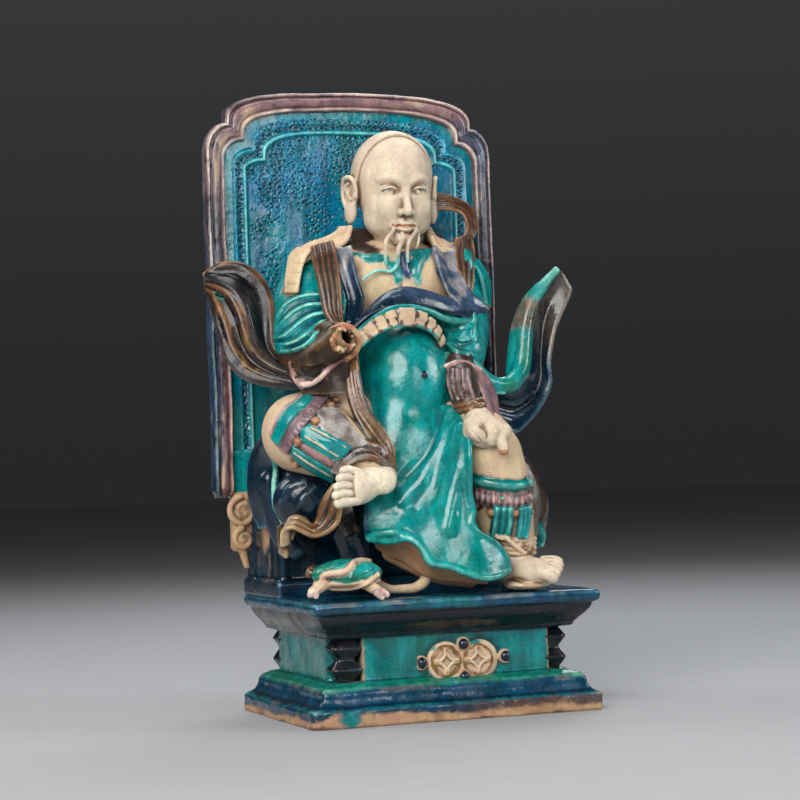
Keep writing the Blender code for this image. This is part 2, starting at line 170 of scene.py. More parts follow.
def V(pts):
    """Rows px, py, depth, extras... to rows x, y, z, extras..."""
    return [[*at(p[0], p[1], p[2]), *p[3:]] for p in pts]


# --------------------------------------------------------------- solids
BAND = 4.0


class Tube:
    """Round limb or fold: rows x, y, z, radius; flat squeezes it along an axis."""

    def __init__(s, rows, col, k=2.0, cut=False, bias=0.0, step=2.5, show=None):
        s.rows = spline(rows, step)
        s.rows[:, 3] = np.maximum(s.rows[:, 3], 0.3)
        s.col, s.k, s.cut, s.bias, s.show = col, k, cut, bias, show
        L = np.r_[0, np.cumsum(np.linalg.norm(np.diff(s.rows[:, :3], axis=0), axis=1))]
        s.u = L / max(L[-1], 1e-6)
        s.lo = (s.rows[:, :3] - s.rows[:, 3:4]).min(0)
        s.hi = (s.rows[:, :3] + s.rows[:, 3:4]).max(0)

    def seg(s, i, X, Y, Z):
        a, b = s.rows[i], s.rows[i + 1]
        d = b[:3] - a[:3]
        q = max(float(d @ d), 1e-9)
        px, py, pz = X - a[0], Y - a[1], Z - a[2]
        t = np.clip((px * d[0] + py * d[1] + pz * d[2]) / q, 0, 1)
        px = px - t * d[0]
        py = py - t * d[1]
        pz = pz - t * d[2]
        return np.sqrt(px * px + py * py + pz * pz) - (a[3] + t * (b[3] - a[3])), t

    def grid(s, F, pad):
        sl = F.window(s.lo - pad, s.hi + pad)
        X, Y, Z = F.open(sl)
        A = np.full((X.size, Y.size, Z.size), 1e3, np.float32)
        for i in range(len(s.rows) - 1):
            r = s.rows[i:i + 2]
            w = F.window((r[:, :3] - r[:, 3:4]).min(0) - pad, (r[:, :3] + r[:, 3:4]).max(0) + pad)
            x, y, z = F.open(w)
            d, _ = s.seg(i, x, y, z)
            B = A[tuple(slice(w[k].start - sl[k].start, w[k].stop - sl[k].start) for k in range(3))]
            np.minimum(B, d, out=B)
        return sl, A

    def near(s, P):
        best = np.full(len(P), 1e3)
        u = np.zeros(len(P))
        for i in range(len(s.rows) - 1):
            d, t = s.seg(i, P[:, 0], P[:, 1], P[:, 2])
            m = d < best
            best[m] = d[m]
            u[m] = (s.u[i] + t * (s.u[i + 1] - s.u[i]))[m]
        return best, u, np.zeros(len(P))


class Ball:
    """Ellipsoid, turned by Euler angles in degrees."""

    def __init__(s, c, r, col, k=4.0, cut=False, bias=0.0, turn=(0, 0, 0), show=None):
        s.c, s.r, s.col, s.k, s.cut, s.bias, s.show = np.array(c, float), np.array(r, float), col, k, cut, bias, show
        from mathutils import Euler
        s.M = np.array(Euler([math.radians(t) for t in turn]).to_matrix())
        e = np.sqrt(((s.M * s.r) ** 2).sum(1))
        s.lo, s.hi = s.c - e, s.c + e

    def dist(s, X, Y, Z):
        p = [X - s.c[0], Y - s.c[1], Z - s.c[2]]
        q = [p[0] * s.M[0, j] + p[1] * s.M[1, j] + p[2] * s.M[2, j] for j in range(3)]
        k0 = np.sqrt(sum((q[j] / s.r[j]) ** 2 for j in range(3)))
        k1 = np.sqrt(sum((q[j] / s.r[j] ** 2) ** 2 for j in range(3))) + 1e-9
        return k0 * (k0 - 1) / k1

    def grid(s, F, pad):
        sl = F.window(s.lo - pad, s.hi + pad)
        return sl, s.dist(*F.open(sl)).astype(np.float32)

    def near(s, P):
        return s.dist(P[:, 0], P[:, 1], P[:, 2]), np.zeros(len(P)), np.zeros(len(P))


class Cap(Ball):
    """Ellipsoid that keeps only the side of a plane that its normal points to."""

    def __init__(s, c, r, col, o, n, **kw):
        Ball.__init__(s, c, r, col, **kw)
        s.o, s.n = np.array(o, float), np.array(n, float)

    def dist(s, X, Y, Z):
        return np.maximum(Ball.dist(s, X, Y, Z), (s.o[0] - X) * s.n[0] + (s.o[1] - Y) * s.n[1] + (s.o[2] - Z) * s.n[2])


class Slab:
    """Box with rounded edges, turned about Z."""

    def __init__(s, c, half, col, r=2.0, k=1.0, cut=False, bias=0.0, turn=0.0, show=None):
        s.c, s.half, s.col, s.rad, s.k, s.cut, s.bias, s.show = np.array(c, float), np.array(half, float), col, r, k, cut, bias, show
        a = math.radians(turn)
        s.ca, s.sa = math.cos(a), math.sin(a)
        e = np.array([abs(s.half[0] * s.ca) + abs(s.half[1] * s.sa), abs(s.half[0] * s.sa) + abs(s.half[1] * s.ca), s.half[2]])
        s.lo, s.hi = s.c - e, s.c + e

    def dist(s, X, Y, Z):
        x, y, z = X - s.c[0], Y - s.c[1], Z - s.c[2]
        a = np.abs(x * s.ca + y * s.sa) - (s.half[0] - s.rad)
        b = np.abs(-x * s.sa + y * s.ca) - (s.half[1] - s.rad)
        c = np.abs(z) - (s.half[2] - s.rad)
        out = np.sqrt(np.maximum(a, 0) ** 2 + np.maximum(b, 0) ** 2 + np.maximum(c, 0) ** 2)
        return out + np.minimum(np.maximum(np.maximum(a, b), c), 0) - s.rad

    grid = Ball.grid
    near = Ball.near


class Sheet:
    """Clay sheet through two or more edge curves (rows x, y, z), lofted across.
    prof(t, s) lifts it along its normal, wall(t, s) is its half thickness."""

    def __init__(s, curves, col, wall=1.8, prof=None, k=1.2, bias=0.0, pitch=0.9, cut=False, show=None):
        s.col, s.k, s.cut, s.bias, s.show = col, k, cut, bias, show
        pitch = pitch * 1.0
        ln = max(np.linalg.norm(np.diff(np.array(c)[:, :3], axis=0), axis=1).sum() for c in curves)
        nt = max(8, int(ln * 1.1 / pitch))
        C = np.stack([even(np.array(c)[:, :3], nt) for c in curves])
        wd = np.linalg.norm(np.diff(C, axis=0), axis=2).sum(0).max()
        ns = max(4, int(wd * 1.15 / pitch))
        G = np.stack([even(C[:, i], ns) for i in range(nt)])            # nt, ns, 3
        t = np.linspace(0, 1, nt)[:, None] + np.zeros((1, ns))
        w = np.linspace(0, 1, ns)[None] + np.zeros((nt, 1))
        a, b = np.gradient(G, axis=0), np.gradient(G, axis=1)
        N = np.cross(a, b)
        N /= np.linalg.norm(N, axis=2, keepdims=True) + 1e-9
        flip = np.sign((N * (EYE - G)).sum(2).mean()) or 1.0
        N *= flip
        if prof is not None:
            G = G + N * prof(t, w)[..., None]
        s.P = G.reshape(-1, 3)
        R = wall(t, w) if callable(wall) else np.full(t.shape, float(wall))
        s.R, s.t, s.w = R.reshape(-1), t.reshape(-1), w.reshape(-1)
        s.lo, s.hi = (s.P - s.R[:, None]).min(0), (s.P + s.R[:, None]).max(0)
        s.tree = None

    def grid(s, F, pad):
        pad = min(pad, 2.6)
        sl = F.window(s.lo - pad, s.hi + pad)
        X, Y, Z = F.open(sl)
        n = (X.size, Y.size, Z.size)
        A = np.full(n, 1e3, np.float32)
        o = np.array([X.flat[0], Y.flat[0], Z.flat[0]])
        m = int(math.ceil((s.R.max() + pad) / F.h)) + 1
        ax = np.arange(-m, m + 1, dtype=np.float32) * np.float32(F.h)
        I = np.rint((s.P - o) / F.h).astype(int)
        off = (s.P - o) - I * F.h
        for q in range(len(s.P)):
            i, j, l = I[q]
            i0, i1 = max(i - m, 0), min(i + m + 1, n[0])
            j0, j1 = max(j - m, 0), min(j + m + 1, n[1])
            l0, l1 = max(l - m, 0), min(l + m + 1, n[2])
            if i0 >= i1 or j0 >= j1 or l0 >= l1:
                continue
            dx = (ax[i0 - i + m:i1 - i + m] - off[q, 0]) ** 2
            dy = (ax[j0 - j + m:j1 - j + m] - off[q, 1]) ** 2
            dz = (ax[l0 - l + m:l1 - l + m] - off[q, 2]) ** 2
            B = A[i0:i1, j0:j1, l0:l1]
            np.minimum(B, np.sqrt(dx[:, None, None] + dy[None, :, None] + dz[None, None, :]) - s.R[q], out=B)
        return sl, A

    def near(s, P):
        if s.tree is None:
            s.tree = kdtree.KDTree(len(s.P))
            for i, p in enumerate(s.P):
                s.tree.insert(p, i)
            s.tree.balance()
        d = np.empty(len(P))
        ix = np.empty(len(P), int)
        for q, p in enumerate(P):
            _, ix[q], d[q] = s.tree.find(p)
        return d - s.R[ix], s.t[ix], s.w[ix]


class Field:
    def __init__(s, name, h, lo, hi):
        s.name, s.h, s.lo = name, h * SCALE, np.array(lo, float)
        s.n = np.ceil((np.array(hi) - s.lo) / s.h).astype(int) + 1
        s.ax = [(s.lo[i] + s.h * np.arange(s.n[i])).astype(np.float32) for i in range(3)]
        s.d = np.full(s.n, BAND, np.float32)
        s.parts, s.paints = [], []

    def window(s, lo, hi):
        a = np.clip(np.floor((np.asarray(lo) - s.lo) / s.h).astype(int), 0, s.n - 1)
        b = np.clip(np.ceil((np.asarray(hi) - s.lo) / s.h).astype(int) + 1, a + 1, s.n)
        return tuple(slice(int(p), int(q)) for p, q in zip(a, b))

    def open(s, sl):
        return s.ax[0][sl[0]][:, None, None], s.ax[1][sl[1]][None, :, None], s.ax[2][sl[2]][None, None, :]

    def add(s, *parts):
        for p in parts:
            sl, A = p.grid(s, max(p.k, 3.0))
            D = s.d[sl]
            if p.cut:
                A = -A
                h = np.clip(0.5 + 0.5 * (A - D) / p.k, 0, 1)
                D[...] = D * (1 - h) + A * h + p.k * h * (1 - h)
            else:
                A = np.minimum(A, 60)
                h = np.clip(0.5 + 0.5 * (D - A) / p.k, 0, 1)
                D[...] = np.minimum(D * (1 - h) + A * h - p.k * h * (1 - h), BAND)
            s.parts.append(p)
        return s

    def ridge(s, P, reach):
        """Positive on ridges, negative in grooves, from the blurred field."""
        D = np.clip(s.d, -3.0, 3.0)
        for k in range(3):
            for _ in range(2):
                out = D.copy()
                m = max(1, int(round(reach / s.h)))
                for j in (-m, m):
                    out += np.roll(D, j, axis=k)
                D = out / 3
        return sample(D, s, P)


def sample(D, F, P):
    Q = (P - F.lo) / F.h
    I = np.clip(np.floor(Q).astype(int), 0, F.n - 2)
    f = np.clip(Q - I, 0, 1)
    out = 0
    for dx in (0, 1):
        for dy in (0, 1):
            for dz in (0, 1):
                w = ((f[:, 0] if dx else 1 - f[:, 0]) * (f[:, 1] if dy else 1 - f[:, 1]) * (f[:, 2] if dz else 1 - f[:, 2]))
                out = out + w * D[I[:, 0] + dx, I[:, 1] + dy, I[:, 2] + dz]
    return out


# --------------------------------------------------------------- meshes
MOST = {"trunk": 147000, "head": 106000, "throne_field": 101000, "raised_leg": 74000, "resting_arm": 57000,
        "standing_leg": 55000, "plinth": 46000, "open_sleeve_arm": 42000, "knee_drapery": 33000, "right_sleeve": 29000,
        "seat_block": 28000, "tortoise": 28000, "medallion": 24000, "left_scarf": 24000, "planted_foot": 23000,
        "throne_rim": 22000, "raised_foot": 20000, "ribbon": 15000, "scroll_left": 9000, "scroll_right": 9000,
        "throne_foot": 9000, "throne_reverse": 9000, "shoulder_strap": 8000}     # triangles, 918,000 in all


def thin(ob):
    """Brings a mesh down to its share of the triangles, flat parts first."""
    ob.data.calc_loop_triangles()
    n = len(ob.data.loop_triangles)
    if n <= MOST.get(ob.name, n):
        return
    m = ob.modifiers.new("thin", 'DECIMATE')
    m.ratio = MOST[ob.name] / n
    m.use_collapse_triangulate = True
    old = ob.data
    dg = bpy.context.evaluated_depsgraph_get()
    me = bpy.data.meshes.new_from_object(ob.evaluated_get(dg), preserve_all_data_layers=True, depsgraph=dg)
    ob.modifiers.remove(m)
    ob.data = me
    bpy.data.meshes.remove(old)
    say(ob.name, n, "->", len(me.polygons), "triangles")


def mesh_from(name, verts, faces, colour, relief, gloss, material):
    """verts in mm in the modelling frame; faces are quads (or triangles with a repeated corner)."""
    me = bpy.data.meshes.new(name)
    P = (np.asarray(verts, float) + SHIFT) * 0.001
    F = np.asarray(faces)
    me.vertices.add(len(P))
    me.vertices.foreach_set("co", P.astype(np.float32).ravel())
    me.loops.add(F.size)
    me.loops.foreach_set("vertex_index", F.ravel().astype(np.int32))
    me.polygons.add(len(F))
    me.polygons.foreach_set("loop_start", np.arange(0, F.size, F.shape[1], dtype=np.int32))
    me.polygons.foreach_set("use_smooth", np.ones(len(F), bool))
    me.update(calc_edges=True)
    ca = me.color_attributes.new("glaze", 'FLOAT_COLOR', 'POINT')
    ca.data.foreach_set("color", np.c_[np.clip(colour, 0, 1), np.ones(len(P))].astype(np.float32).ravel())
    for key, val in (("relief", relief), ("gloss", gloss)):
        a = me.attributes.new(key, 'FLOAT', 'POINT')
        a.data.foreach_set("value", np.asarray(val, np.float32))
    me.materials.append(material)
    ob = bpy.data.objects.new(name, me)
    bpy.context.scene.collection.objects.link(ob)
    thin(ob)
    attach(ob, "root")
    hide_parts(NODE)
    say(name, len(P), "verts", len(F), "faces")
    return ob


def tone(name, relief, n1, n2):
    """Colour of a glaze from how proud the surface stands, and slow variation. Ridges lean to the thin colour, partly
    glaze breaking and partly a painted highlight; hollows lean to the pool colour, partly pooled glaze and partly
    painted shade.
    """
    base, thin, pooled_glaze_and_shade, gl = GLAZE[name]
    r = relief[:, None]
    c = base[None] * (1 + 0.16 * n1[:, None])
    # painted highlight in part: ridges lean to the pale thin colour
    c = c + (thin[None] - c) * (smooth(0.38, 1.15, r) * (0.85 if gl > 0.5 else 0.5))
    # painted shade in part: hollows lean to the dark pool colour
    c = c + (pooled_glaze_and_shade[None] - c) * (smooth(0.06, 0.65, -r) * 0.9)
    c = c * (1 + 0.10 * n2[:, None])
    return c, np.full(len(relief), gl)


def inside(poly, px, py):
    poly = np.asarray(poly, float)
    x0, y0 = poly[:, 0], poly[:, 1]
    x1, y1 = np.roll(x0, -1), np.roll(y0, -1)
    r = np.zeros(len(px), bool)
    for a, b, c, d in zip(x0, y0, x1, y1):
        if b == d:
            continue
        hit = ((b > py) != (d > py)) & (px < (c - a) * (py - b) / (d - b) + a)
        r ^= hit
    return r


def skin(F, material, jitter=0.9):
    """Mesh of a field, with each point's glaze from the part that it lies on."""
    g = openvdb.FloatGrid(background=BAND)
    F.d[0], F.d[-1], F.d[:, 0], F.d[:, -1], F.d[:, :, 0], F.d[:, :, -1] = (BAND,) * 6
    g.copyFromArray(F.d, tolerance=0.0)
    p, q = g.convertToQuads(isovalue=0.0)
    P = p.astype(float) * F.h + F.lo
    rel = F.ridge(P, 1.3) * 0.9 + F.ridge(P, 3.2) * 0.35
    n1, n2 = fractal(P, 26, 1), fractal(P, 9, 5)
    J = P + jitter * np.stack([noise(P, 3.2, 11), noise(P, 3.2, 12), noise(P, 3.2, 13)], 1)
    best = np.full(len(P), 1e3)
    owner = np.full(len(P), -1)
    uu, ww = np.zeros(len(P)), np.zeros(len(P))
    for i, part in enumerate(F.parts):
        if part.show is False:
            continue
        m = np.all((J >= part.lo - 4) & (J <= part.hi + 4), axis=1)
        if not m.any():
            continue
        ix = np.nonzero(m)[0]
        d, u, w = part.near(J[ix])
        if part.cut:
            d = np.where(np.abs(d) < 0.9, np.abs(d) - 1.2, 1e3)
        d = d - part.bias
        s = d < best[ix]
        best[ix[s]], owner[ix[s]], uu[ix[s]], ww[ix[s]] = d[s], i, u[s], w[s]
    colour, gloss = np.tile(GLAZE["teal"][0], (len(P), 1)), np.ones(len(P))
    for i, part in enumerate(F.parts):
        m = owner == i
        if not m.any():
            continue
        if isinstance(part, Sheet):                          # thin cloth is judged against its own mean
            rel[m] -= 0.85 * np.median(rel[m])
        if callable(part.col):
            c, gl = part.col(P[m], uu[m], ww[m], rel[m], n1[m], n2[m])
        else:
            c, gl = tone(part.col, rel[m], n1[m], n2[m])
        colour[m], gloss[m] = c, gl
    if F.paints:
        px, py = seen(J)
        me_n = normals(P, q)
        base = np.array([getattr(p, "base", False) for p in F.parts] + [False])
        for poly, name, y0, y1 in F.paints:
            m = inside(poly, px, py) & (P[:, 1] > y0) & (P[:, 1] < y1) & ((me_n * (EYE - P)).sum(1) > 0)
            if m.any():
                m &= base[owner]
                c, gl = tone(name, rel[m], n1[m], n2[m]) if isinstance(name, str) else name(P[m], rel[m], n1[m], n2[m])
                colour[m], gloss[m] = c, gl
    return mesh_from(F.name, P, q, colour, rel, gloss, material)


def normals(P, q):
    a, b, c, d = (P[q[:, i]] for i in range(4))
    fn = np.cross(c - a, d - b)
    N = np.zeros_like(P)
    for i in range(4):
        for k in range(3):
            N[:, k] += np.bincount(q[:, i], fn[:, k], len(P))
    return N / (np.linalg.norm(N, axis=1, keepdims=True) + 1e-9)


def calm(name, k=0.35, off=0.0):
    """A glaze that answers little to the relief, for flat cloth."""
    def col(P, u, w, rel, n1, n2):
        return tone(name, rel * k + off, n1, n2)
    return col


def patchy(a, b, size, lean=0.0, off=0.0, stretch=(1, 1, 1)):
    """Two glazes that run into each other."""
    def col(P, u, w, rel, n1, n2):
        k = smooth(-0.25, 0.25, fractal(P * np.array(stretch), size, off) + lean)[:, None]
        ca, ga = tone(a, rel, n1, n2)
        cb, gb = tone(b, rel, n1, n2)
        return ca * (1 - k) + cb * k, ga * (1 - k[:, 0]) + gb * k[:, 0]
    return col


def patchy_flat(a, b, size, off):
    """Two glazes that run into each other, for painted areas."""
    f = patchy(a, b, size, 0.0, off)
    return lambda P, rel, n1, n2: f(P, None, None, rel, n1, n2)


class Model(Field):
    """A field sized by its first solids, with details laid on it by sight line."""

    def __init__(s, name, h, parts, grow=7.0, reach=()):
        lo = np.min([p.lo for p in parts if not p.cut], axis=0) - grow
        hi = np.max([p.hi for p in parts if not p.cut], axis=0) + grow
        for r in reach:
            q = at(*r)
            lo, hi = np.minimum(lo, q - 7), np.maximum(hi, q + 7)
        Field.__init__(s, name, h, lo, hi)
        s.add(*parts)
        for p in parts:
            p.base = True

    def depth(s, px, py, near=-150.0, far=100.0, fallback=None):
        ys = np.arange(near, far, 0.7)
        P = np.array([at(px, py, y) for y in (near, far)])
        L = P[0] + (P[1] - P[0]) * ((ys - near) / (far - near))[:, None]
        ok = np.all((L >= s.lo) & (L <= s.lo + (s.n - 1) * s.h), axis=1)
        if not ok.any():
            return fallback
        L, ys = L[ok], ys[ok]
        d = sample(s.d, s, L)
        hit = np.nonzero(d < 0)[0]
        if len(hit):
            i = hit[0]
            return ys[i] if i == 0 else ys[i - 1] + 0.7 * d[i - 1] / max(d[i - 1] - d[i], 1e-6)
        return ys[int(np.argmin(d))] if d.min() < BAND - 0.2 else fallback

    def on(s, pts, lift=0.0):
        """px, py, radius rows laid on the surface; lift raises them towards the eye."""
        rows, last = [], None
        ys = [s.depth(p[0], p[1]) for p in pts]
        good = [i for i, y in enumerate(ys) if y is not None]
        for i, p in enumerate(pts):
            y = ys[i] if ys[i] is not None else float(np.interp(i, good, [ys[j] for j in good]))
            rows.append([*at(p[0], p[1], y - lift), *p[2:]])
        return rows

    def behind(s, c, first, last, lift=0.0, n=26):
        """Rows round the far side of a limb, from the last visible point back to the first."""
        c, a, b = np.array(c[:2], float), np.array(last, float), np.array(first, float)
        t0, t1 = math.atan2(a[1] - c[1], a[0] - c[0]), math.atan2(b[1] - c[1], b[0] - c[0])
        while t1 < t0:
            t1 += 2 * math.pi
        rows = []
        for k in range(n + 1):
            f = k / n
            t, z = t0 + (t1 - t0) * f, a[2] + (b[2] - a[2]) * f
            rr = np.arange(4.0, 60.0, 0.5)
            L = np.c_[c[0] + rr * math.cos(t), c[1] + rr * math.sin(t), np.full(len(rr), z)]
            d = sample(s.d, s, L)
            out = np.nonzero(d > 0)[0]
            r = rr[out[0]] if len(out) else 24.0
            rows.append([c[0] + (r + lift) * math.cos(t), c[1] + (r + lift) * math.sin(t), z, a[3] + (b[3] - a[3]) * f])
        return rows

    def dots(s, pts, col, lift=0.6):
        for px, py, r in pts:
            c = s.on([(px, py, r)], lift)[0]
            s.add(Ball(c[:3], (r, r, r), col, k=0.6, bias=0.6))


def tb(col, *pts, k=2.0, **kw):
    """Tube straight from px, py, depth, radius rows."""
    return Tube(V(pts), col, k=k, **kw)


def lump(col, px, py, y, rx, ry, rz, k=4.0, **kw):
    return Ball(at(px, py, y), (rx, ry, rz), col, k=k, **kw)


def cv(*pts):
    return V(pts)


# --------------------------------------------------------------- materials
def glaze_material(name, craters=False, rough=0.17):
    m = bpy.data.materials.new(name)
    m.use_nodes = True
    nt = m.node_tree
    N, L = nt.nodes, nt.links
    bs = N["Principled BSDF"]

    def node(kind, **kw):
        n = N.new(kind)
        for k, v in kw.items():
            setattr(n, k, v)
        return n

    def put(sock, v):
        if isinstance(v, (int, float)):
            sock.default_value = v
        else:
            L.new(v, sock)

    def math_(op, a, b=0.0, c=None, clamp=False):
        n = node("ShaderNodeMath", operation=op, use_clamp=clamp)
        put(n.inputs[0], a)
        put(n.inputs[1], b)
        if c is not None:
            put(n.inputs[2], c)
        return n.outputs[0]

    def ramp(x, a, b, lo=0.0, hi=1.0):
        n = node("ShaderNodeMapRange", interpolation_type='SMOOTHSTEP')
        put(n.inputs[0], x)
        n.inputs[1].default_value, n.inputs[2].default_value = a, b
        n.inputs[3].default_value, n.inputs[4].default_value = lo, hi
        return n.outputs[0]

    tc = node("ShaderNodeTexCoord")

    def noise_(scale, detail=3.0, rough_=0.55, stretch=None, dist=0.0):
        v = tc.outputs["Object"]
        if stretch:
            mp = node("ShaderNodeMapping")
            mp.inputs["Scale"].default_value = stretch
            L.new(v, mp.inputs["Vector"])
            v = mp.outputs[0]
        n = node("ShaderNodeTexNoise")
        n.inputs["Scale"].default_value = scale
        n.inputs["Detail"].default_value = detail
        n.inputs["Roughness"].default_value = rough_
        n.inputs["Distortion"].default_value = dist
        L.new(v, n.inputs["Vector"])
        return n.outputs["Fac"]

    def mix(a, b, f, mode='MIX'):
        n = node("ShaderNodeMix", data_type='RGBA', blend_type=mode)
        put(n.inputs[0], f)
        for s_, v in ((n.inputs[6], a), (n.inputs[7], b)):
            if isinstance(v, tuple):
                s_.default_value = (*v, 1)
            else:
                L.new(v, s_)
        return n.outputs[2]

    col = node("ShaderNodeAttribute", attribute_name="glaze").outputs["Color"]
    rel = node("ShaderNodeAttribute", attribute_name="relief").outputs["Fac"]
    glo = node("ShaderNodeAttribute", attribute_name="gloss").outputs["Fac"]
    dull = math_('SUBTRACT', 1.0, glo, clamp=True)
    # glaze: clouds, runs downwards, fine mottling
    cloud = noise_(45, 3)
    runs = noise_(1.0, 3, stretch=(150, 150, 26))
    mott = noise_(420, 4, 0.7)
    spk = noise_(900, 2, 0.5)
    hsv = node("ShaderNodeHueSaturation")
    L.new(col, hsv.inputs["Color"])
    put(hsv.inputs["Hue"], math_('ADD', ramp(cloud, 0.3, 0.7, -0.014, 0.014), 0.5))
    amt = math_('MULTIPLY', ramp(runs, 0.3, 0.7, 0.74, 1.28), ramp(mott, 0.28, 0.72, 0.72, 1.22))
    amt = math_('MULTIPLY', amt, ramp(cloud, 0.3, 0.7, 0.86, 1.14))
    soft = math_('ADD', math_('MULTIPLY', math_('SUBTRACT', amt, 1.0), math_('ADD', math_('MULTIPLY', glo, 0.75), 0.25)), 1.0)
    put(hsv.inputs["Value"], soft)
    c = hsv.outputs[0]
    # bare clay: iron specks and dirt that stays in hollows
    grit = ramp(spk, 0.66, 0.74)
    c = mix(c, (0.12, 0.055, 0.03), math_('MULTIPLY', math_('MULTIPLY', grit, 0.55), dull))
    grime = math_('MULTIPLY', ramp(rel, -0.05, -0.55), ramp(noise_(160, 3), 0.3, 0.75, 0.25, 1.0))
    c = mix(c, (0.10, 0.055, 0.028), math_('MULTIPLY', math_('MULTIPLY', grime, 0.7), dull))
    stain = math_('MULTIPLY', ramp(noise_(26, 4), 0.52, 0.72), 0.30)
    c = mix(c, (0.42, 0.25, 0.13), math_('MULTIPLY', stain, dull))
    # tiny pinholes in the glaze
    pin = node("ShaderNodeTexVoronoi", feature='F1')
    pin.inputs["Scale"].default_value = 130
    L.new(tc.outputs["Object"], pin.inputs["Vector"])
    hole = math_('MULTIPLY', ramp(pin.outputs["Distance"], 0.07, 0.03), ramp(noise_(30, 2), 0.55, 0.65))
    c = mix(c, (0.02, 0.018, 0.02), math_('MULTIPLY', math_('MULTIPLY', hole, 0.8), glo))
    # hair-fine crackle
    ck = node("ShaderNodeTexVoronoi", feature='DISTANCE_TO_EDGE')
    ck.inputs["Scale"].default_value = 260
    L.new(tc.outputs["Object"], ck.inputs["Vector"])
    crack = math_('MULTIPLY', ramp(ck.outputs["Distance"], 0.035, 0.0), ramp(noise_(22, 2), 0.45, 0.62))
    c = mix(c, (0.03, 0.05, 0.06), math_('MULTIPLY', math_('MULTIPLY', crack, 0.35), glo))
    L.new(c, bs.inputs["Base Color"])
    # surface
    r1 = math_('ADD', ramp(noise_(70, 3), 0.3, 0.7, rough * 0.6, rough * 1.6), math_('MULTIPLY', crack, 0.1))
    r2 = ramp(noise_(300, 3), 0.3, 0.7, 0.52, 0.82)
    rr = math_('ADD', math_('MULTIPLY', r1, glo), math_('MULTIPLY', r2, dull))
    L.new(rr, bs.inputs["Roughness"])
    bs.inputs["IOR"].default_value = 1.55
    # relief too fine for the mesh
    wave = noise_(120, 3, 0.5)
    peel = noise_(520, 2, 0.5)
    grain = noise_(1300, 3, 0.7)
    h = math_('ADD', math_('MULTIPLY', wave, 0.00055), math_('MULTIPLY', peel, 0.00008))
    h = math_('SUBTRACT', h, math_('MULTIPLY', hole, 0.0003))
    h2 = math_('ADD', math_('MULTIPLY', grain, 0.00022), math_('MULTIPLY', noise_(260, 3), 0.0005))
    hh = math_('ADD', math_('MULTIPLY', h, glo), math_('MULTIPLY', h2, dull))
    if craters:
        v = node("ShaderNodeTexVoronoi", feature='F1')
        v.inputs["Scale"].default_value = 380
        L.new(tc.outputs["Object"], v.inputs["Vector"])
        att = node("ShaderNodeAttribute", attribute_name="pits").outputs["Fac"]
        pit = math_('MULTIPLY', ramp(v.outputs["Distance"], 0.42, 0.12), att)
        hh = math_('SUBTRACT', hh, math_('MULTIPLY', pit, 0.0007))
    b = node("ShaderNodeBump")
    b.inputs["Strength"].default_value = 0.85
    b.inputs["Distance"].default_value = 1.0
    L.new(hh, b.inputs["Height"])
    L.new(b.outputs[0], bs.inputs["Normal"])
    return m


GLOSSY = glaze_material("coloured_glaze", rough=0.2)
SATIN = glaze_material("satin_glaze", rough=0.25)
SATIN.node_tree.nodes["Principled BSDF"].inputs["Specular IOR Level"].default_value = 0.3
PITTED = glaze_material("pitted_glaze", craters=True)


def shell_mesh(name, P, faces, colour, relief, gloss, material, pits=None):
    """Mesh from points (mm) and a mixed list of faces."""
    me = bpy.data.meshes.new(name)
    me.from_pydata(((np.asarray(P) + SHIFT) * 0.001).tolist(), [], faces)
    me.update()
    me.polygons.foreach_set("use_smooth", np.ones(len(me.polygons), bool))
    ca = me.color_attributes.new("glaze", 'FLOAT_COLOR', 'POINT')
    ca.data.foreach_set("color", np.c_[np.clip(colour, 0, 1), np.ones(len(P))].astype(np.float32).ravel())
    for key, val in (("relief", relief), ("gloss", gloss)) + ((("pits", pits),) if pits is not None else ()):
        me.attributes.new(key, 'FLOAT', 'POINT').data.foreach_set("value", np.asarray(val, np.float32))
    me.materials.append(material)
    ob = bpy.data.objects.new(name, me)
    bpy.context.scene.collection.objects.link(ob)
    thin(ob)
    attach(ob, "root")
    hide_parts(NODE)
    say(name, len(P), "verts", len(ob.data.polygons), "faces")
    return ob


def loft(rings, first_cap=True, last_cap=True, closed=True):
    """Faces between rings of equal length."""
    n = len(rings[0])
    faces = []
    for i in range(len(rings) - 1):
        a, b = i * n, (i + 1) * n
        for j in range(n if closed else n - 1):
            k = (j + 1) % n
            faces.append((a + j, a + k, b + k, b + j))
    if first_cap:
        faces.append(tuple(range(n - 1, -1, -1)))
    if last_cap:
        a = (len(rings) - 1) * n
        faces.append(tuple(range(a, a + n)))
    return np.vstack(rings), faces


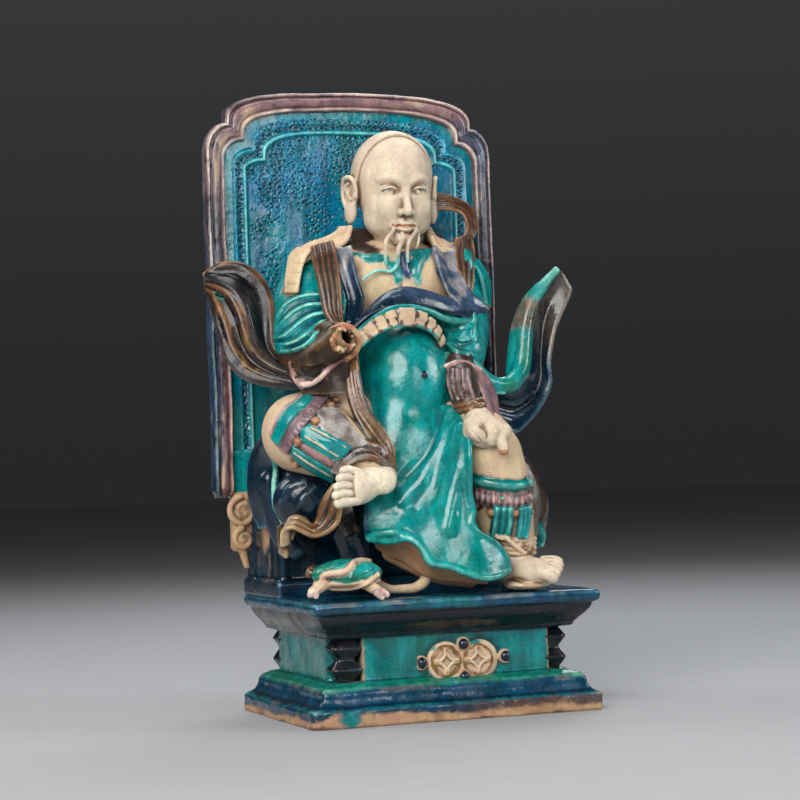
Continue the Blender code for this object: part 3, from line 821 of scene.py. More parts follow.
# --------------------------------------------------------------- plinth
def plinth():
    st = 1.7

    def ring(z, x0, x1, y0, y1, notch=0.0, r=2.6):
        pts = []
        nx, ny = int(236 / st), int(180 / st)
        corners = [(x1, y0, -1, 1), (x1, y1, -1, -1), (x0, y1, 1, -1), (x0, y0, 1, 1)]
        spans = [ny, nx, ny, nx]
        loc = []
        for ci, (x, y, sx, sy) in enumerate(corners):
            c = []
            for q in range(9):
                t = q / 8
                if ci % 2:                                   # turning from side to back
                    t = 1 - t
                if notch:
                    wide = notch * (1.6 if ci == 3 else 1.0)
                    u = min(t * 2, 1) * notch
                    v = max(t * 2 - 1, 0) * wide
                    c.append((x + sx * (wide if t < 0.5 else wide - v), y + sy * (u if t < 0.5 else notch)))
                else:
                    a = t * math.pi / 2
                    c.append((x + sx * r * (1 - math.sin(a)), y + sy * r * (1 - math.cos(a))))
            loc.append(c)
        for ci in range(4):
            pts += loc[ci]
            a, b = loc[ci][-1], loc[(ci + 1) % 4][0]
            for q in range(1, spans[ci]):
                t = q / spans[ci]
                pts.append((a[0] + (b[0] - a[0]) * t, a[1] + (b[1] - a[1]) * t))
        return np.array([[p[0], p[1], z] for p in pts])

    prof = []                                               # z, half width, front, back, notch, radius

    def lv(z, w, f, b, notch=0.0, r=2.6):
        prof.append((z, w, f, b, notch, r))

    for q in (0.12, 0.45, 0.75, 0.93):
        lv(93.6, 111 * q, -88 * q, 89 * q, 0, 2)
    lv(93.5, 112, -90, 90, 0, 3)
    lv(92.9, 114.4, -92.6, 91.2, 0, 3.4)
    lv(91.6, 115.6, -93.8, 91.8, 0, 3.6)
    for z in (89.5, 87.6):
        lv(z, 116, -94.2, 92, 0, 3.6)
    lv(85.6, 115.4, -93.6, 91.8, 0, 3.2)
    lv(84.2, 113.6, -91.8, 91.2, 0, 2.8)
    lv(83.5, 111.2, -90, 90.4, 0, 2.4)
    lv(82.4, 110.6, -89.4, 90, 0, 2.4)
    for q in np.linspace(0, 1, 9):
        lv(81.6 - 9.8 * q, 110.6 - 6.6 * q ** 1.5, -89.2 + 9.2 * q ** 1.5, 89.8 - 3.6 * q, 0, 2.4)
    lv(70.4, 103.0, -78.6, 85.6, 0, 2.2)
    lv(69.0, 101.6, -76.8, 84.8, 0, 2.2)
    lv(67.2, 100.8, -75.6, 84.0, 0, 2.2)
    lv(65.8, 100.2, -74.6, 83.4, 0, 2.2)
    lv(65.1, 98.6, -73.4, 82.4, 0, 1.6)
    lv(64.8, 95.4, -70.4, 80.4, 15, 1)
    for z in np.linspace(63.5, 33.8, 15):
        lv(z, 95, -70, 80, 15, 1)
    lv(32.6, 95.4, -70.5, 80.4, 15, 1)
    lv(31.4, 97.4, -72.4, 82.0, 0, 1.6)
    lv(30.3, 100.4, -75.2, 83.6, 0, 2)
    lv(29.3, 103.2, -77.6, 85.0, 0, 2.4)
    lv(28.2, 105.0, -79.2, 86.0, 0, 2.8)
    lv(26.8, 106.2, -80.4, 86.8, 0, 3)
    lv(25.2, 106.9, -81.2, 87.2, 0, 3)
    for q in np.linspace(0, 1, 6):
        lv(23.6 - 6.6 * q, 107.2 + 2.8 * q * q, -81.6 - 1.6 * q * q, 87.6 + 0.8 * q, 0, 3)
    lv(15.9, 111.4, -84.0, 89, 0, 3)
    lv(14.8, 113.8, -85.0, 90.4, 0, 3)
    lv(13.8, 116.2, -85.9, 91.2, 0, 3.2)
    lv(12.8, 117.4, -86.5, 91.8, 0, 3.4)
    for z in (12.0, 11.2, 10.4, 9.6, 8.8, 8.0, 7.2, 6.4, 5.6, 4.8, 4.0, 3.2, 2.4, 1.6):
        lv(z, 118, -87, 92, 0, 3.6)
    lv(0.8, 117.6, -86.6, 91.6, 0, 3.4)
    lv(0.0, 116.8, -85.8, 90.8, 0, 3)
    lv(0.0, 107, -75.5, 80.5, 0, 3)
    lv(1.2, 105.4, -74, 79, 0, 3)
    lv(26, 97, -66, 72, 0, 3)
    lv(30, 82, -55, 64, 0, 3)
    lv(74, 80, -54, 62, 0, 3)
    lv(76, 60, -40, 48, 0, 3)
    rings = [ring(z, -w, w, f, b, n, r) for z, w, f, b, n, r in prof]
    P, faces = loft(rings)
    # hand made: edges wander a little, the foot more than the rest
    amp = np.where(P[:, 2] < 14, 0.75, 0.55)
    Q = P.copy()
    for k in range(3):
        Q[:, k] += (1.25 * noise(P, 46, 20 + k) + 0.8 * noise(P, 15, 30 + k) + 0.28 * noise(P, 5, 40 + k)) * amp * (0.7 if k == 2 else 1)
    Q[:, 2] = np.where(P[:, 2] < 0.05, 0.0, np.maximum(Q[:, 2], 0.02))
    # colours by height, with runs across the borders
    z = P[:, 2] + 1.5 * noise(P, 22, 1) + 0.8 * noise(P, 6, 2)
    n1, n2 = fractal(P, 24, 3), fractal(P, 8, 4)
    lev = np.repeat(np.arange(len(prof)), len(rings[0]))
    halfw = np.array([p[1] for p in prof])
    w = halfw[lev]
    rel = np.zeros(len(P))
    # relief per ring and on the corners for the glaze tone: crests and corners take the pale thin colour, undercut
    # ledges the dark pool colour; partly glaze breaking, partly painted highlight and painted shade
    crest = {91.6: .38, 89.5: .05, 83.5: -.5, 84.2: -.4, 82.4: -.2, 67.2: .3, 65.8: .25, 64.8: -.6, 32.6: -.5, 28.2: .35, 26.8: .3, 15.9: -.5,
             14.8: -.25, 12.8: .3, 13.8: .2}
    for i, p in enumerate(prof):
        for zz, v in crest.items():
            if abs(p[0] - zz) < 0.05 and p[1] > 90:
                rel[lev == i] = v
    corner = smooth(16, 2, np.minimum(np.abs(np.abs(P[:, 0]) - w), 99)) * smooth(16, 2, np.minimum(np.abs(P[:, 1] + 86), np.abs(P[:, 1] - 91)))
    rel = 1.7 * rel + 0.35 * corner + 0.15 * n2
    outer = lev < len(prof) - 6
    colr, gl = tone("blue", rel, n1, n2)

    def lay(mask, name, a=1.0):
        c, g = tone(name, rel, n1, n2)
        a = (a * mask)[:, None] if not np.isscalar(a) else mask[:, None] * a
        colr[:] = colr * (1 - a) + c * a
        gl[:] = gl * (1 - a[:, 0]) + g * a[:, 0]

    lay(smooth(0.1, 0.5, n1) * smooth(84, 86, z), "teal", 0.35)
    lay(smooth(0.2, 0.6, fractal(P, 60, 6)) * smooth(84, 86, z), "navy", 0.6)
    lay(smooth(84.6, 83.6, z), "navy")
    lay(smooth(83.8, 82.6, z), "ink", 0.85)
    lay(smooth(70.5, 69.0, z) * smooth(-0.3, 0.3, n1), "navy", 0.6)
    lay(smooth(65.4, 64.6, P[:, 2] + 0.7 * noise(P, 9, 7)), "teal")
    lay(smooth(65.4, 64.6, P[:, 2]) * smooth(0.0, 0.5, n1), "green", 0.55)
    lay(smooth(65.4, 64.6, P[:, 2]) * (0.35 + 0.65 * smooth(-0.2, 0.5, fractal(P, 15, 31))), "navy", 0.42)
    lay(smooth(34, 31, z), "green", 0.75)
    lay(smooth(28.2, 26.0, z + 1.2 * noise(P, 14, 9)), "blue")
    lay(smooth(24, 19, z) * smooth(-0.2, 0.4, n1), "navy", 0.55)
    lay(smooth(14.8, 13.2, z) * smooth(12.2, 13.2, z), "teal", 0.5)
    ragged = 5.6 + 3.2 * noise(P * [1, 1, 0.2], 40, 13) + 1.4 * noise(P, 9, 14) + 0.5 * noise(P, 3, 15) + 2.6 * smooth(20, -90, P[:, 0])
    near_corner = smooth(34, 6, np.hypot(P[:, 0] + 118, P[:, 1] + 87))
    ragged = ragged + 6.5 * near_corner * (noise(P, 16, 17) + 0.35)
    edge = smooth(ragged + 0.5, ragged - 0.5, P[:, 2])
    lay(smooth(ragged + 2.6, ragged + 0.4, P[:, 2]) * (1 - edge), "navy", 0.55)
    drip = smooth(11, 3, np.abs(P[:, 0] + 88 + 7 * noise(P, 11, 18) + 0.5 * (P[:, 2] - 6))) * (P[:, 1] < -70) * smooth(16, 10, P[:, 2]) * smooth(0.2, 3.0, P[:, 2] + 3.0 * noise(P, 6, 21))
    lay(edge * (1 - drip), "bare")
    lay(edge * smooth(0.05, 0.5, noise(P, 17, 22) + 0.3 * n2) * smooth(3.4, 0.6, P[:, 2] + 2.4 * noise(P, 8, 23)) * (P[:, 2] > 0.05), "brown", 0.7)
    lay(edge * smooth(0.15, 0.5, noise(P, 13, 24)), "amber", 0.45)
    lay(drip * smooth(14.5, 11, P[:, 2]) * smooth(-0.5, 0.2, noise(P, 5, 25) + 0.3), "teal", 0.8)
    thin_ = smooth(-20, 60, P[:, 0] + 26 * noise(P, 30, 26)) * (P[:, 1] < -82) * smooth(14.6, 12, P[:, 2] + 1.5 * noise(P, 10, 27)) * (1 - edge)
    lay(thin_, "amber", 0.6)
    lay((~outer).astype(float), "bare")
    # navy laid in a ring round the medallion, and grey on worn edges
    dm = np.minimum(np.hypot(P[:, 0] + 5.4, P[:, 2] - 43.2), np.hypot(P[:, 0] - 22.4, P[:, 2] - 43.2))
    lay(smooth(22.5, 16.5, dm + 1.5 * n2) * smooth(30, 44, P[:, 2]) * (P[:, 1] < -66) * (P[:, 1] > -71.5), "navy", 0.75)
    wear = smooth(0.28, 0.5, noise(P, 20, 28) + 0.4 * n2) * ((np.abs(P[:, 2] - 13.2) < 1.2) | (np.abs(P[:, 2] - 26.0) < 1.4) | (np.abs(P[:, 2] - 92) < 1.2)) * outer
    lay(wear * (P[:, 1] < 80), "grey", 0.55)
    # thin places on the corners of the waist
    bar = smooth(1.8, 0.5, np.abs(P[:, 0] - np.where(P[:, 0] < 0, -71.4, 80.6))) * smooth(31, 33, P[:, 2]) * smooth(65, 63, P[:, 2]) * (P[:, 1] < -66) * smooth(-0.4, 0.2, noise(P, 12, 19))
    lay(bar, "bare", 0.85)
    return shell_mesh("plinth", Q, faces, colr, rel, gl, GLOSSY)


def quatrefoil():
    """Medallion of two overlapped rings with petal shapes, and four bosses."""
    y = -70.0
    parts = [Ball((-5.4, y, 43.2), (15.2, 3.4, 15.2), "cream", k=1.2), Ball((22.4, y - 0.4, 43.2), (15.2, 3.6, 15.2), "cream", k=0.8)]
    parts.append(Slab((8.5, y, 43.4), (7, 2.4, 9), "cream", r=1.5))
    F = Model("medallion", 0.42, parts, grow=8)
    def edgeglaze(P, u, w, rel, n1, n2):
        c, g = tone("cream", rel, n1, n2)
        t, gt = tone("teal", rel * 0.5, n1, n2)
        k = smooth(0.05, 0.35, noise(P, 9, 77) + 0.2 * n2)
        return c * (1 - k[:, None]) + t * k[:, None], g * (1 - k) + gt * k
    for cx in (-5.4, 20.2):
        def circle(r, n=28, a0=0.0, a1=2 * math.pi, yy=y - 3.2):
            return [[cx + r * math.cos(a), yy + 0.012 * r * r, 43.2 + r * math.sin(a)] for a in np.linspace(a0, a1, n)]
        F.add(Ball((cx, y - 3.4, 43.2), (11.8, 2.3, 11.8), patchy("bare", "gold", 6, 0.2, 2), k=0.8, cut=True))
        F.add(Tube([[*p, 1.5] for p in circle(13.4, yy=y - 3.2)], edgeglaze, k=0.6))
        for q in range(4):                                    # four petal arcs that meet at the rim
            a = math.pi / 4 + q * math.pi / 2
            ox, oz = cx + 14.2 * math.cos(a), 43.2 + 14.2 * math.sin(a)
            arc = [[ox + 10.2 * math.cos(a + math.pi + t), y - 2.9, oz + 10.2 * math.sin(a + math.pi + t)] for t in np.linspace(-0.74, 0.74, 12)]
            F.add(Tube([[*p, 1.25] for p in arc], "cream", k=0.7))
        for q in range(4):
            a = q * math.pi / 2
            F.add(Ball((cx + 8.2 * math.cos(a), y - 2.6, 43.2 + 8.2 * math.sin(a)), (2.4, 1.2, 2.4), "cream", k=1.4))
    for bx, bz in ((-25.6, 43.4), (43.0, 44.6), (8.7, 55.8), (8.7, 30.9)):
        F.add(Ball((bx, y - 1.0, bz), (5.6, 3.2, 5.6), "cream" if abs(bx - 8.7) > 5 else "green", k=1.0))
        F.add(Tube([[bx + 4.6 * math.cos(a), y - 2.4, bz + 4.6 * math.sin(a), 0.9] for a in np.linspace(0, 2 * math.pi, 18)], "bare", k=0.6))
        F.add(Ball((bx, y - 3.2, bz), (3.8, 3.0, 3.8), calm("navy", 0.4), k=0.5, bias=0.2))
    skin(F, GLOSSY, jitter=0.5)


def posts():
    """Knotted corner posts that stand in the notches of the waist."""
    for i, (sx, cy, ny) in enumerate(((-1, -60.5, -1), (1, -60.5, -1), (-1, 70.5, 1), (1, 70.5, 1))):
        big = 1.16 if i == 0 else 1.0
        cx = -83.0 if i == 0 else sx * 85.5
        rings, tag = [], "knot_post_%d" % i
        zs, rr = [], []
        for z0 in (33.0, 49.2):
            for t, r in ((0, 6.6), (0.08, 7.0), (0.2, 8.2), (0.3, 9.2), (0.4, 10.3), (0.46, 10.9), (0.5, 11.1), (0.54, 10.9), (0.6, 10.3), (0.7, 9.2), (0.8, 8.2), (0.92, 7.0), (0.97, 6.6)):
                zs.append(z0 + t * 16.0)
                rr.append(r)
        zs = [31.0] + zs + [66.0]
        rr = [7.2] + rr + [7.2]
        for z, r in zip(zs, rr):
            pts = []
            for q in range(48):
                a = 2 * math.pi * q / 48
                c, s_ = math.cos(a), math.sin(a)
                e = 0.42 + 0.1 * smooth(9.5, 7, r)            # four rounded sides
                x = r * big * math.copysign(abs(c) ** e, c)
                yv = r * math.copysign(abs(s_) ** e, s_)
                pts.append((cx + x * 0.98, cy + yv * 0.98, z))
            rings.append(np.array(pts))
        P, faces = loft(rings[::-1])
        Q = P + 0.35 * np.stack([noise(P, 7, 50), noise(P, 7, 51), noise(P, 7, 52)], 1)
        r = np.repeat(np.array(rr[::-1]), 48)
        # knot bulges lighter and pinches darker through the glaze tone: partly painted highlight and painted shade
        rel = smooth(9.6, 11, r) * 0.75 - smooth(8, 6.8, r) * 0.5
        n1, n2 = fractal(P, 24, 3), fractal(P, 8, 4)
        c, g = tone("ink", rel * 0.6, n1, n2)
        c2, _ = tone("navy", rel, n1, n2)
        k = smooth(-0.1, 0.4, n1)[:, None]
        shell_mesh(tag, Q, faces, c * (1 - k) + c2 * k, rel, g, GLOSSY)


# --------------------------------------------------------------- throne back
PX, HALF, NHALF, NZ, SZ, TOP, LOW = -16.3, 124.0, 107.0, 474.0, 450.0, 500.6, 172.0


def outline(inset, low=LOW, n=1.0):
    """Open line up the right side, over the stepped arch and down the left side."""
    hs, nh, nz, sz, top = HALF - inset, NHALF - inset, NZ - 0.9 * inset, SZ - 0.4 * inset, TOP - inset
    m = 1
    pts = [(hs, z) for z in np.linspace(low, sz, 130 // m)][:-1]
    for a in np.linspace(0, math.pi / 2, 20 // m):
        pts.append((hs - (hs - nh) * (1 - math.cos(a)), sz + (nz - sz) * math.sin(a)))
    spring = nz + (top - nz) * 0.12
    for a in np.linspace(0, math.pi, 180 // m):
        c, s_ = math.cos(a), math.sin(a)
        pts.append((nh * math.copysign(abs(c) ** 0.62, c), spring + (top - spring) * max(s_, 0) ** 0.72))
    k = 130 // m - 1 + 20 // m
    pts += [(-x, z) for x, z in reversed(pts[:k])]
    return np.array(pts) + [PX, 0]


def rim():
    prof = [(1.2, 89.0), (0.2, 87.6), (0.0, 85), (0.0, 82), (0.0, 79), (0.05, 76.8), (0.3, 75.0), (0.8, 73.7), (1.5, 73.0), (2.2, 72.9), (2.8, 73.4),
            (3.2, 74.2), (3.7, 74.5), (4.2, 73.8), (4.8, 72.6), (5.6, 71.7), (6.6, 71.2), (7.8, 71.1), (9.0, 71.4), (10.0, 71.9), (10.9, 72.6), (11.5, 73.4),
            (11.9, 73.5), (12.4, 72.8), (13.0, 72.1), (13.7, 71.9), (14.4, 72.3), (15.0, 73.4), (15.5, 75.2), (15.9, 77.2), (16.2, 80.0), (16.2, 84.0), (15.5, 86.0), (8, 88.6), (3, 89.2)]
    # relief per profile step for the glaze tone: crests take the pale thin colour, grooves the dark pool colour; partly
    # glaze breaking, partly painted highlight and painted shade
    crest = {0.8: .7, 1.5: .95, 2.2: .8, 3.2: -.5, 3.7: -.9, 4.2: -.3, 4.8: .35, 5.6: .4, 6.6: .15, 10.9: -.1, 11.5: -.6, 11.9: -.8, 13.0: .7, 13.7: 1.0, 14.4: .9, 15.0: .5, 16.2: -.5}
    rings = []
    base = outline(0)
    n = len(base)
    for ins, y in prof:
        o = outline(ins)
        rings.append(np.c_[o[:, 0], np.full(n, y), o[:, 1]])
    G = np.stack(rings, 1)                                  # n, profile, 3
    L = np.r_[0, np.cumsum(np.linalg.norm(np.diff(base, axis=0), axis=1))]
    Pn = G.reshape(-1, 3)
    # rounded lower ends
    m = len(prof)
    idx = np.repeat(np.arange(n), m)
    end = np.minimum(L[idx], L[-1] - L[idx])
    cen = np.array([8.0, 79.5])
    rel = np.array([crest.get(p[0], 0.0) for p in prof])[np.tile(np.arange(m), n)]
    ins = np.array([p[0] for p in prof])[np.tile(np.arange(m), n)]
    Q = Pn.copy()
    k = np.sqrt(np.clip(1 - ((6 - np.minimum(end, 6)) / 6) ** 2, 0.02, 1))
    side = np.where(idx < n / 2, 1, -1)
    mid = PX + side * (HALF - 8)
    near_end = end < 6
    Q[near_end, 0] = (mid + (Q[:, 0] - mid) * k)[near_end]
    Q[near_end, 1] = (79.5 + (Q[:, 1] - 79.5) * k)[near_end]
    for a in range(3):
        Q[:, a] += 0.75 * noise(Pn, 46, 60 + a) + 0.3 * noise(Pn, 12, 63 + a) + 0.14 * noise(Pn, 4, 66 + a)
    faces = []
    for i in range(n - 1):
        for j in range(m):
            q = (j + 1) % m
            faces.append((i * m + j, i * m + q, (i + 1) * m + q, (i + 1) * m + j))
    faces.append(tuple(range(m - 1, -1, -1)))
    faces.append(tuple(range((n - 1) * m, n * m)))
    n1, n2 = fractal(Pn, 30, 6), fractal(Pn, 9, 7)
    Ls = np.c_[ins, Pn[:, 1] * 0.6, L[idx] * 0.11]
    n3, n4 = fractal(Ls, 5.5, 8), fractal(Ls * [0.6, 0.6, 1], 7, 9)
    rel = rel + 0.2 * n2 + 0.35 * noise(Ls, 3, 72)
    colr, gl = tone("plum", rel, n1, n2)

    def lay(mask, name, a=1.0):
        c, g = tone(name, rel, n1, n2)
        w = (mask * a)[:, None]
        colr[:] = colr * (1 - w) + c * w
        gl[:] = gl * (1 - w[:, 0]) + g * w[:, 0]

    up = smooth(468, 484, Pn[:, 2])
    lay(up, "pink", 0.45)
    face = smooth(2.6, 4.4, ins) * smooth(12.6, 10.8, ins)
    lay(face * (1 - up) * smooth(-0.35, 0.15, n4 - 0.1), "slate", 0.75)
    lay(smooth(0.0, 0.35, n3) * (0.45 + 0.55 * face) * (1 - 0.75 * up), "navy", 0.85)
    lay(smooth(0.2, 0.4, -n3) * (1 - up), "grey", 0.5)
    lay(up * smooth(0.18, 0.36, n4 - 0.03 * (ins - 6)), "ink", 0.65)
    left = (side < 0) * smooth(400, 320, Pn[:, 2] + 20 * n1)
    lay(left * smooth(6, 1, ins) * smooth(-0.5, 0.1, n4 + 0.2), "blue", 0.8)
    lay((side < 0) * smooth(330, 250, Pn[:, 2]) * smooth(6, 9, ins) * smooth(-0.4, 0.1, n4 + 0.2), "pink", 0.7)
    lay(smooth(205, 180, Pn[:, 2] + 5 * n1) * (ins > 1), "amber", 0.6)
    right = (side > 0) * smooth(450, 380, Pn[:, 2] + 20 * n1)
    lay(right * smooth(-0.3, 0.2, n4 + 0.1), "ink", 0.55)
    sprk = smooth(0.45, 0.6, noise(Pn, 2.4, 70) * 0.6 + noise(Pn, 7, 71) * 0.6)
    lay(sprk * (1 - 0.5 * up), "ink", 0.8)
    mot = noise(Ls * [1, 1, 2.2], 2.6, 74) * 0.6 + noise(Ls, 6, 75) * 0.6
    lay(smooth(0.30, 0.5, mot) * (1 - 0.4 * up), "cream", 0.55)
    lay(smooth(0.30, 0.5, -mot) * (1 - 0.5 * up), "navy", 0.6)
    lay((Pn[:, 1] > 84).astype(float), "slate", 0.7)
    return shell_mesh("throne_rim", Q, faces, colr, rel, gl, GLOSSY)


def arc_half(z, inset):
    """Half width of the stepped outline at height z."""
    hs, nh, nz, sz, top = HALF - inset, NHALF - inset, NZ - 0.9 * inset, SZ - 0.4 * inset, TOP - inset
    z = np.asarray(z, float)
    spring = nz + (top - nz) * 0.12
    low = np.full(z.shape, hs)
    sh = nh + (hs - nh) * np.sqrt(np.clip(1 - ((z - sz) / (nz - sz)) ** 2, 0, 1))
    s_ = np.clip((z - spring) / (top - spring), 0, 1) ** (1 / 0.72)
    ar = nh * np.sqrt(np.clip(1 - s_ ** 2, 0, 1)) ** 0.62
    return np.where(z <= sz, low, np.where(z <= nz, sh, np.where(z <= spring, nh, ar)))


def edge_gap(x, z):
    """Rough distance from the outer outline, inwards, by testing insets."""
    best = np.zeros(x.shape)
    for ins in np.arange(2, 60, 1.0):
        hs = arc_half(z, ins)
        best = np.where((np.abs(x - PX) <= hs) & (z <= TOP - ins), ins, best)
    # refine between steps
    a = best
    for _ in range(5):
        step = 0.5 ** (_ + 1)
        t = a + step
        ok = np.ones(x.shape, bool)
        hs = np.empty(x.shape)
        nh, sz, nz, top = NHALF - t, SZ - 0.4 * t, NZ - 0.9 * t, TOP - t
        spring = nz + (top - nz) * 0.12
        sh = nh + (HALF - t - nh) * np.sqrt(np.clip(1 - ((z - sz) / (nz - sz)) ** 2, 0, 1))
        s_ = np.clip((z - spring) / (top - spring), 0, 1) ** (1 / 0.72)
        ar = nh * np.sqrt(np.clip(1 - s_ ** 2, 0, 1)) ** 0.62
        hs = np.where(z <= sz, HALF - t, np.where(z <= nz, sh, np.where(z <= spring, nh, ar)))
        ok = (np.abs(x - PX) <= hs) & (z <= top)
        a = np.where(ok, t, a)
    return a


def cells(P, size, seed):
    """Distance to the nearest of jittered points, and that point's random number."""
    Q = P / size
    I = np.floor(Q).astype(int)
    best = np.full(len(P), 9.0)
    rnd = np.zeros(len(P))
    for dx in (-1, 0, 1):
        for dz in (-1, 0, 1):
            c = I + [dx, dz]
            h = (c[:, 0] * 73856093 ^ c[:, 1] * 19349663 ^ seed * 83492791) & 0xFFFFF
            r1 = (h * 16807 % 2147483647) / 2147483647.0
            r2 = (h * 48271 % 2147483647) / 2147483647.0
            r3 = (h * 69621 % 2147483647) / 2147483647.0
            d = np.hypot(Q[:, 0] - c[:, 0] - 0.15 - 0.7 * r1, Q[:, 1] - c[:, 1] - 0.15 - 0.7 * r2)
            m = d < best
            best[m], rnd[m] = d[m], r3[m]
    return best, rnd


def field_panel():
    """Recessed field of the throne back: fillet, pitted ground and flow of glaze."""
    q = 1.0
    zs = np.r_[np.arange(LOW - 3, 330, 1.7 * q), np.arange(330, TOP - 13.4, 0.68 * q)]
    nx = int(300 / q)
    hs = arc_half(zs, 13.0)
    X = PX + np.linspace(-1, 1, nx)[None] * hs[:, None]
    Z = zs[:, None] + np.zeros((1, nx))
    x, z = X.ravel(), Z.ravel()
    g = edge_gap(x, z)
    P = np.c_[x, np.full(len(x), 76.0), z]
    # outer smooth band, a stippled groove, then the raised fillet
    fil = np.exp(-((g - 32.5) / 1.5) ** 2)
    groove = np.exp(-((g - 28.0) / 2.2) ** 2)
    inner = smooth(33.5, 35.5, g)
    band2 = np.exp(-((g - 24.2) / 1.6) ** 2)
    low_part = smooth(262, 236, z)
    y = 77.2 - 1.9 * fil - 0.7 * band2 * (1 - 0.3 * low_part) + 0.7 * groove + 0.5 * inner
    u, w = x - PX, z
    # where the ground is pitted
    n1 = fractal(P * [1, 1, 0.45], 46, 21)
    n2 = fractal(P, 18, 22)
    n3 = fractal(P * [1, 1, 0.25], 12, 23)
    up = smooth(385, 440, z + 26 * n2)
    topband = smooth(462, 474, z + 5 * n2)
    hd = np.hypot((x - 0) / 1.0, (z - 400) / 1.15)
    halo = smooth(74, 46, hd + 10 * n2)
    leftcol = smooth(38, 10, np.abs(u + 82) + 12 * n2) * smooth(200, 330, z)
    pit = np.clip(up * (0.55 + 0.9 * n1) + topband * 0.8 + halo * 0.45 * smooth(-0.4, 0.3, n1) + 0.55 * leftcol * smooth(-0.3, 0.3, n2), 0, 1)
    pit *= inner * smooth(0.05, 0.45, pit + 0.25 * n2)
    pit = np.maximum(pit, groove * 0.95 * smooth(-0.5, 0.1, n2 + 0.3))
    pit = np.maximum(pit, 0.7 * smooth(21, 23.5, g) * smooth(27, 25, g) * topband)
    d1, r1 = cells(np.c_[x, z], 2.5, 3)
    d2, r2 = cells(np.c_[x + 40, z - 17], 1.8, 8)
    keep1, keep2 = (r1 < pit * 1.15), (r2 < pit * 0.75)
    cr1 = smooth(0.46, 0.2, d1) * keep1
    cr2 = smooth(0.46, 0.2, d2) * keep2
    lip = (np.exp(-((d1 - 0.52) / 0.10) ** 2) * keep1)
    y += 1.5 * cr1 + 0.8 * cr2 - 0.5 * lip
    y += 0.30 * noise(P, 30, 24) + 0.14 * noise(P, 9, 25)
    P[:, 1] = y
    rel = 1.15 * fil + 0.75 * band2 - 0.8 * groove * 0.6 + 0.16 * n2
    colr, gl = tone("field", rel, n1, n2)

    def lay(mask, name, a=1.0, rl=None):
        c, gg = tone(name, rel if rl is None else rl, n1, n2)
        wt = (mask * a)[:, None]
        colr[:] = colr * (1 - wt) + c * wt
        gl[:] = gl * (1 - wt[:, 0]) + gg * wt[:, 0]

    lay(smooth(-0.05, 0.4, n3), "teal_light", 0.30)
    lay(smooth(0.1, 0.45, fractal(P * [1, 1, 0.3], 26, 27)), "teal_light", 0.35)
    lay(smooth(-0.1, -0.5, n1) * inner, "blue", 0.35)
    lay(smooth(22, 19, g), "teal", 0.55)
    lay(low_part * (g < 40), "green", 0.6)
    lay(smooth(300, 250, z) * inner, "teal", 0.5)
    # crater pits take the dark pool colour and dark centres, partly painted shade; crater lips take the pale thin
    # colour as a painted highlight
    lay(np.clip(cr1 + 0.7 * cr2, 0, 1), "blue", 0.8, rl=-np.ones(len(x)) * 0.5)
    lay(smooth(0.7, 1.0, cr1) * (r1 < 0.35), "ink", 0.6)
    # painted highlight on the crater lips
    lay(lip * 0.7 * (1 - np.clip(cr1 + cr2, 0, 1)), "field", 0.8, rl=np.ones(len(x)) * 0.7)
    lay(fil, "teal_light", 0.35)
    ny, nxx = len(zs), nx
    i = np.arange(ny * nxx).reshape(ny, nxx)
    quads = np.stack([i[:-1, :-1], i[:-1, 1:], i[1:, 1:], i[1:, :-1]], -1).reshape(-1, 4)
    faces = quads.tolist()
    shell_mesh("throne_field", P, faces, colr, rel, gl, PITTED, pits=np.clip(pit, 0, 1))
    # back of the panel: one glazed sheet with soft unevenness
    q = 3.0
    zs = np.r_[np.arange(LOW - 0.5, TOP - 2.2, q), TOP - 2.2]
    nx = int(250 / q)
    hs = arc_half(zs, 2.2)
    X = PX + np.linspace(1, -1, nx)[None] * hs[:, None]
    Z = zs[:, None] + np.zeros((1, nx))
    x, z = X.ravel(), Z.ravel()
    P = np.c_[x, np.full(len(x), 88.0), z]
    g = np.minimum(HALF - np.abs(x - PX), 30)
    P[:, 1] += 1.2 * smooth(0, 9, np.minimum(g, TOP - z)) + 0.5 * noise(P, 40, 31) + 0.22 * noise(P, 12, 32)
    n1, n2 = fractal(P * [1, 1, 0.4], 44, 33), fractal(P, 14, 34)
    rel = 0.25 * n2
    colr, gl = tone("teal", rel, n1, n2)
    lay(smooth(-0.1, 0.5, n1), "field", 0.7)
    lay(smooth(0.15, 0.5, fractal(P * [1, 1, 0.3], 20, 35)), "navy", 0.45)
    lay(smooth(LOW + 16 + 0, LOW + 6, z + 6 * n1), "bare", 0.9)
    ny = len(zs)
    i = np.arange(ny * nx).reshape(ny, nx)
    quads = np.stack([i[:-1, :-1], i[:-1, 1:], i[1:, 1:], i[1:, :-1]], -1).reshape(-1, 4)
    shell_mesh("throne_reverse", P, quads.tolist(), colr, rel, gl, GLOSSY)
    # solid middle, lower edge of the panel
    parts = [Slab((PX, 82.2, 190), (HALF - 13, 5.6, 20), "teal", r=2)]
    F = Model("throne_foot", 1.3, parts, grow=4)
    skin(F, GLOSSY)


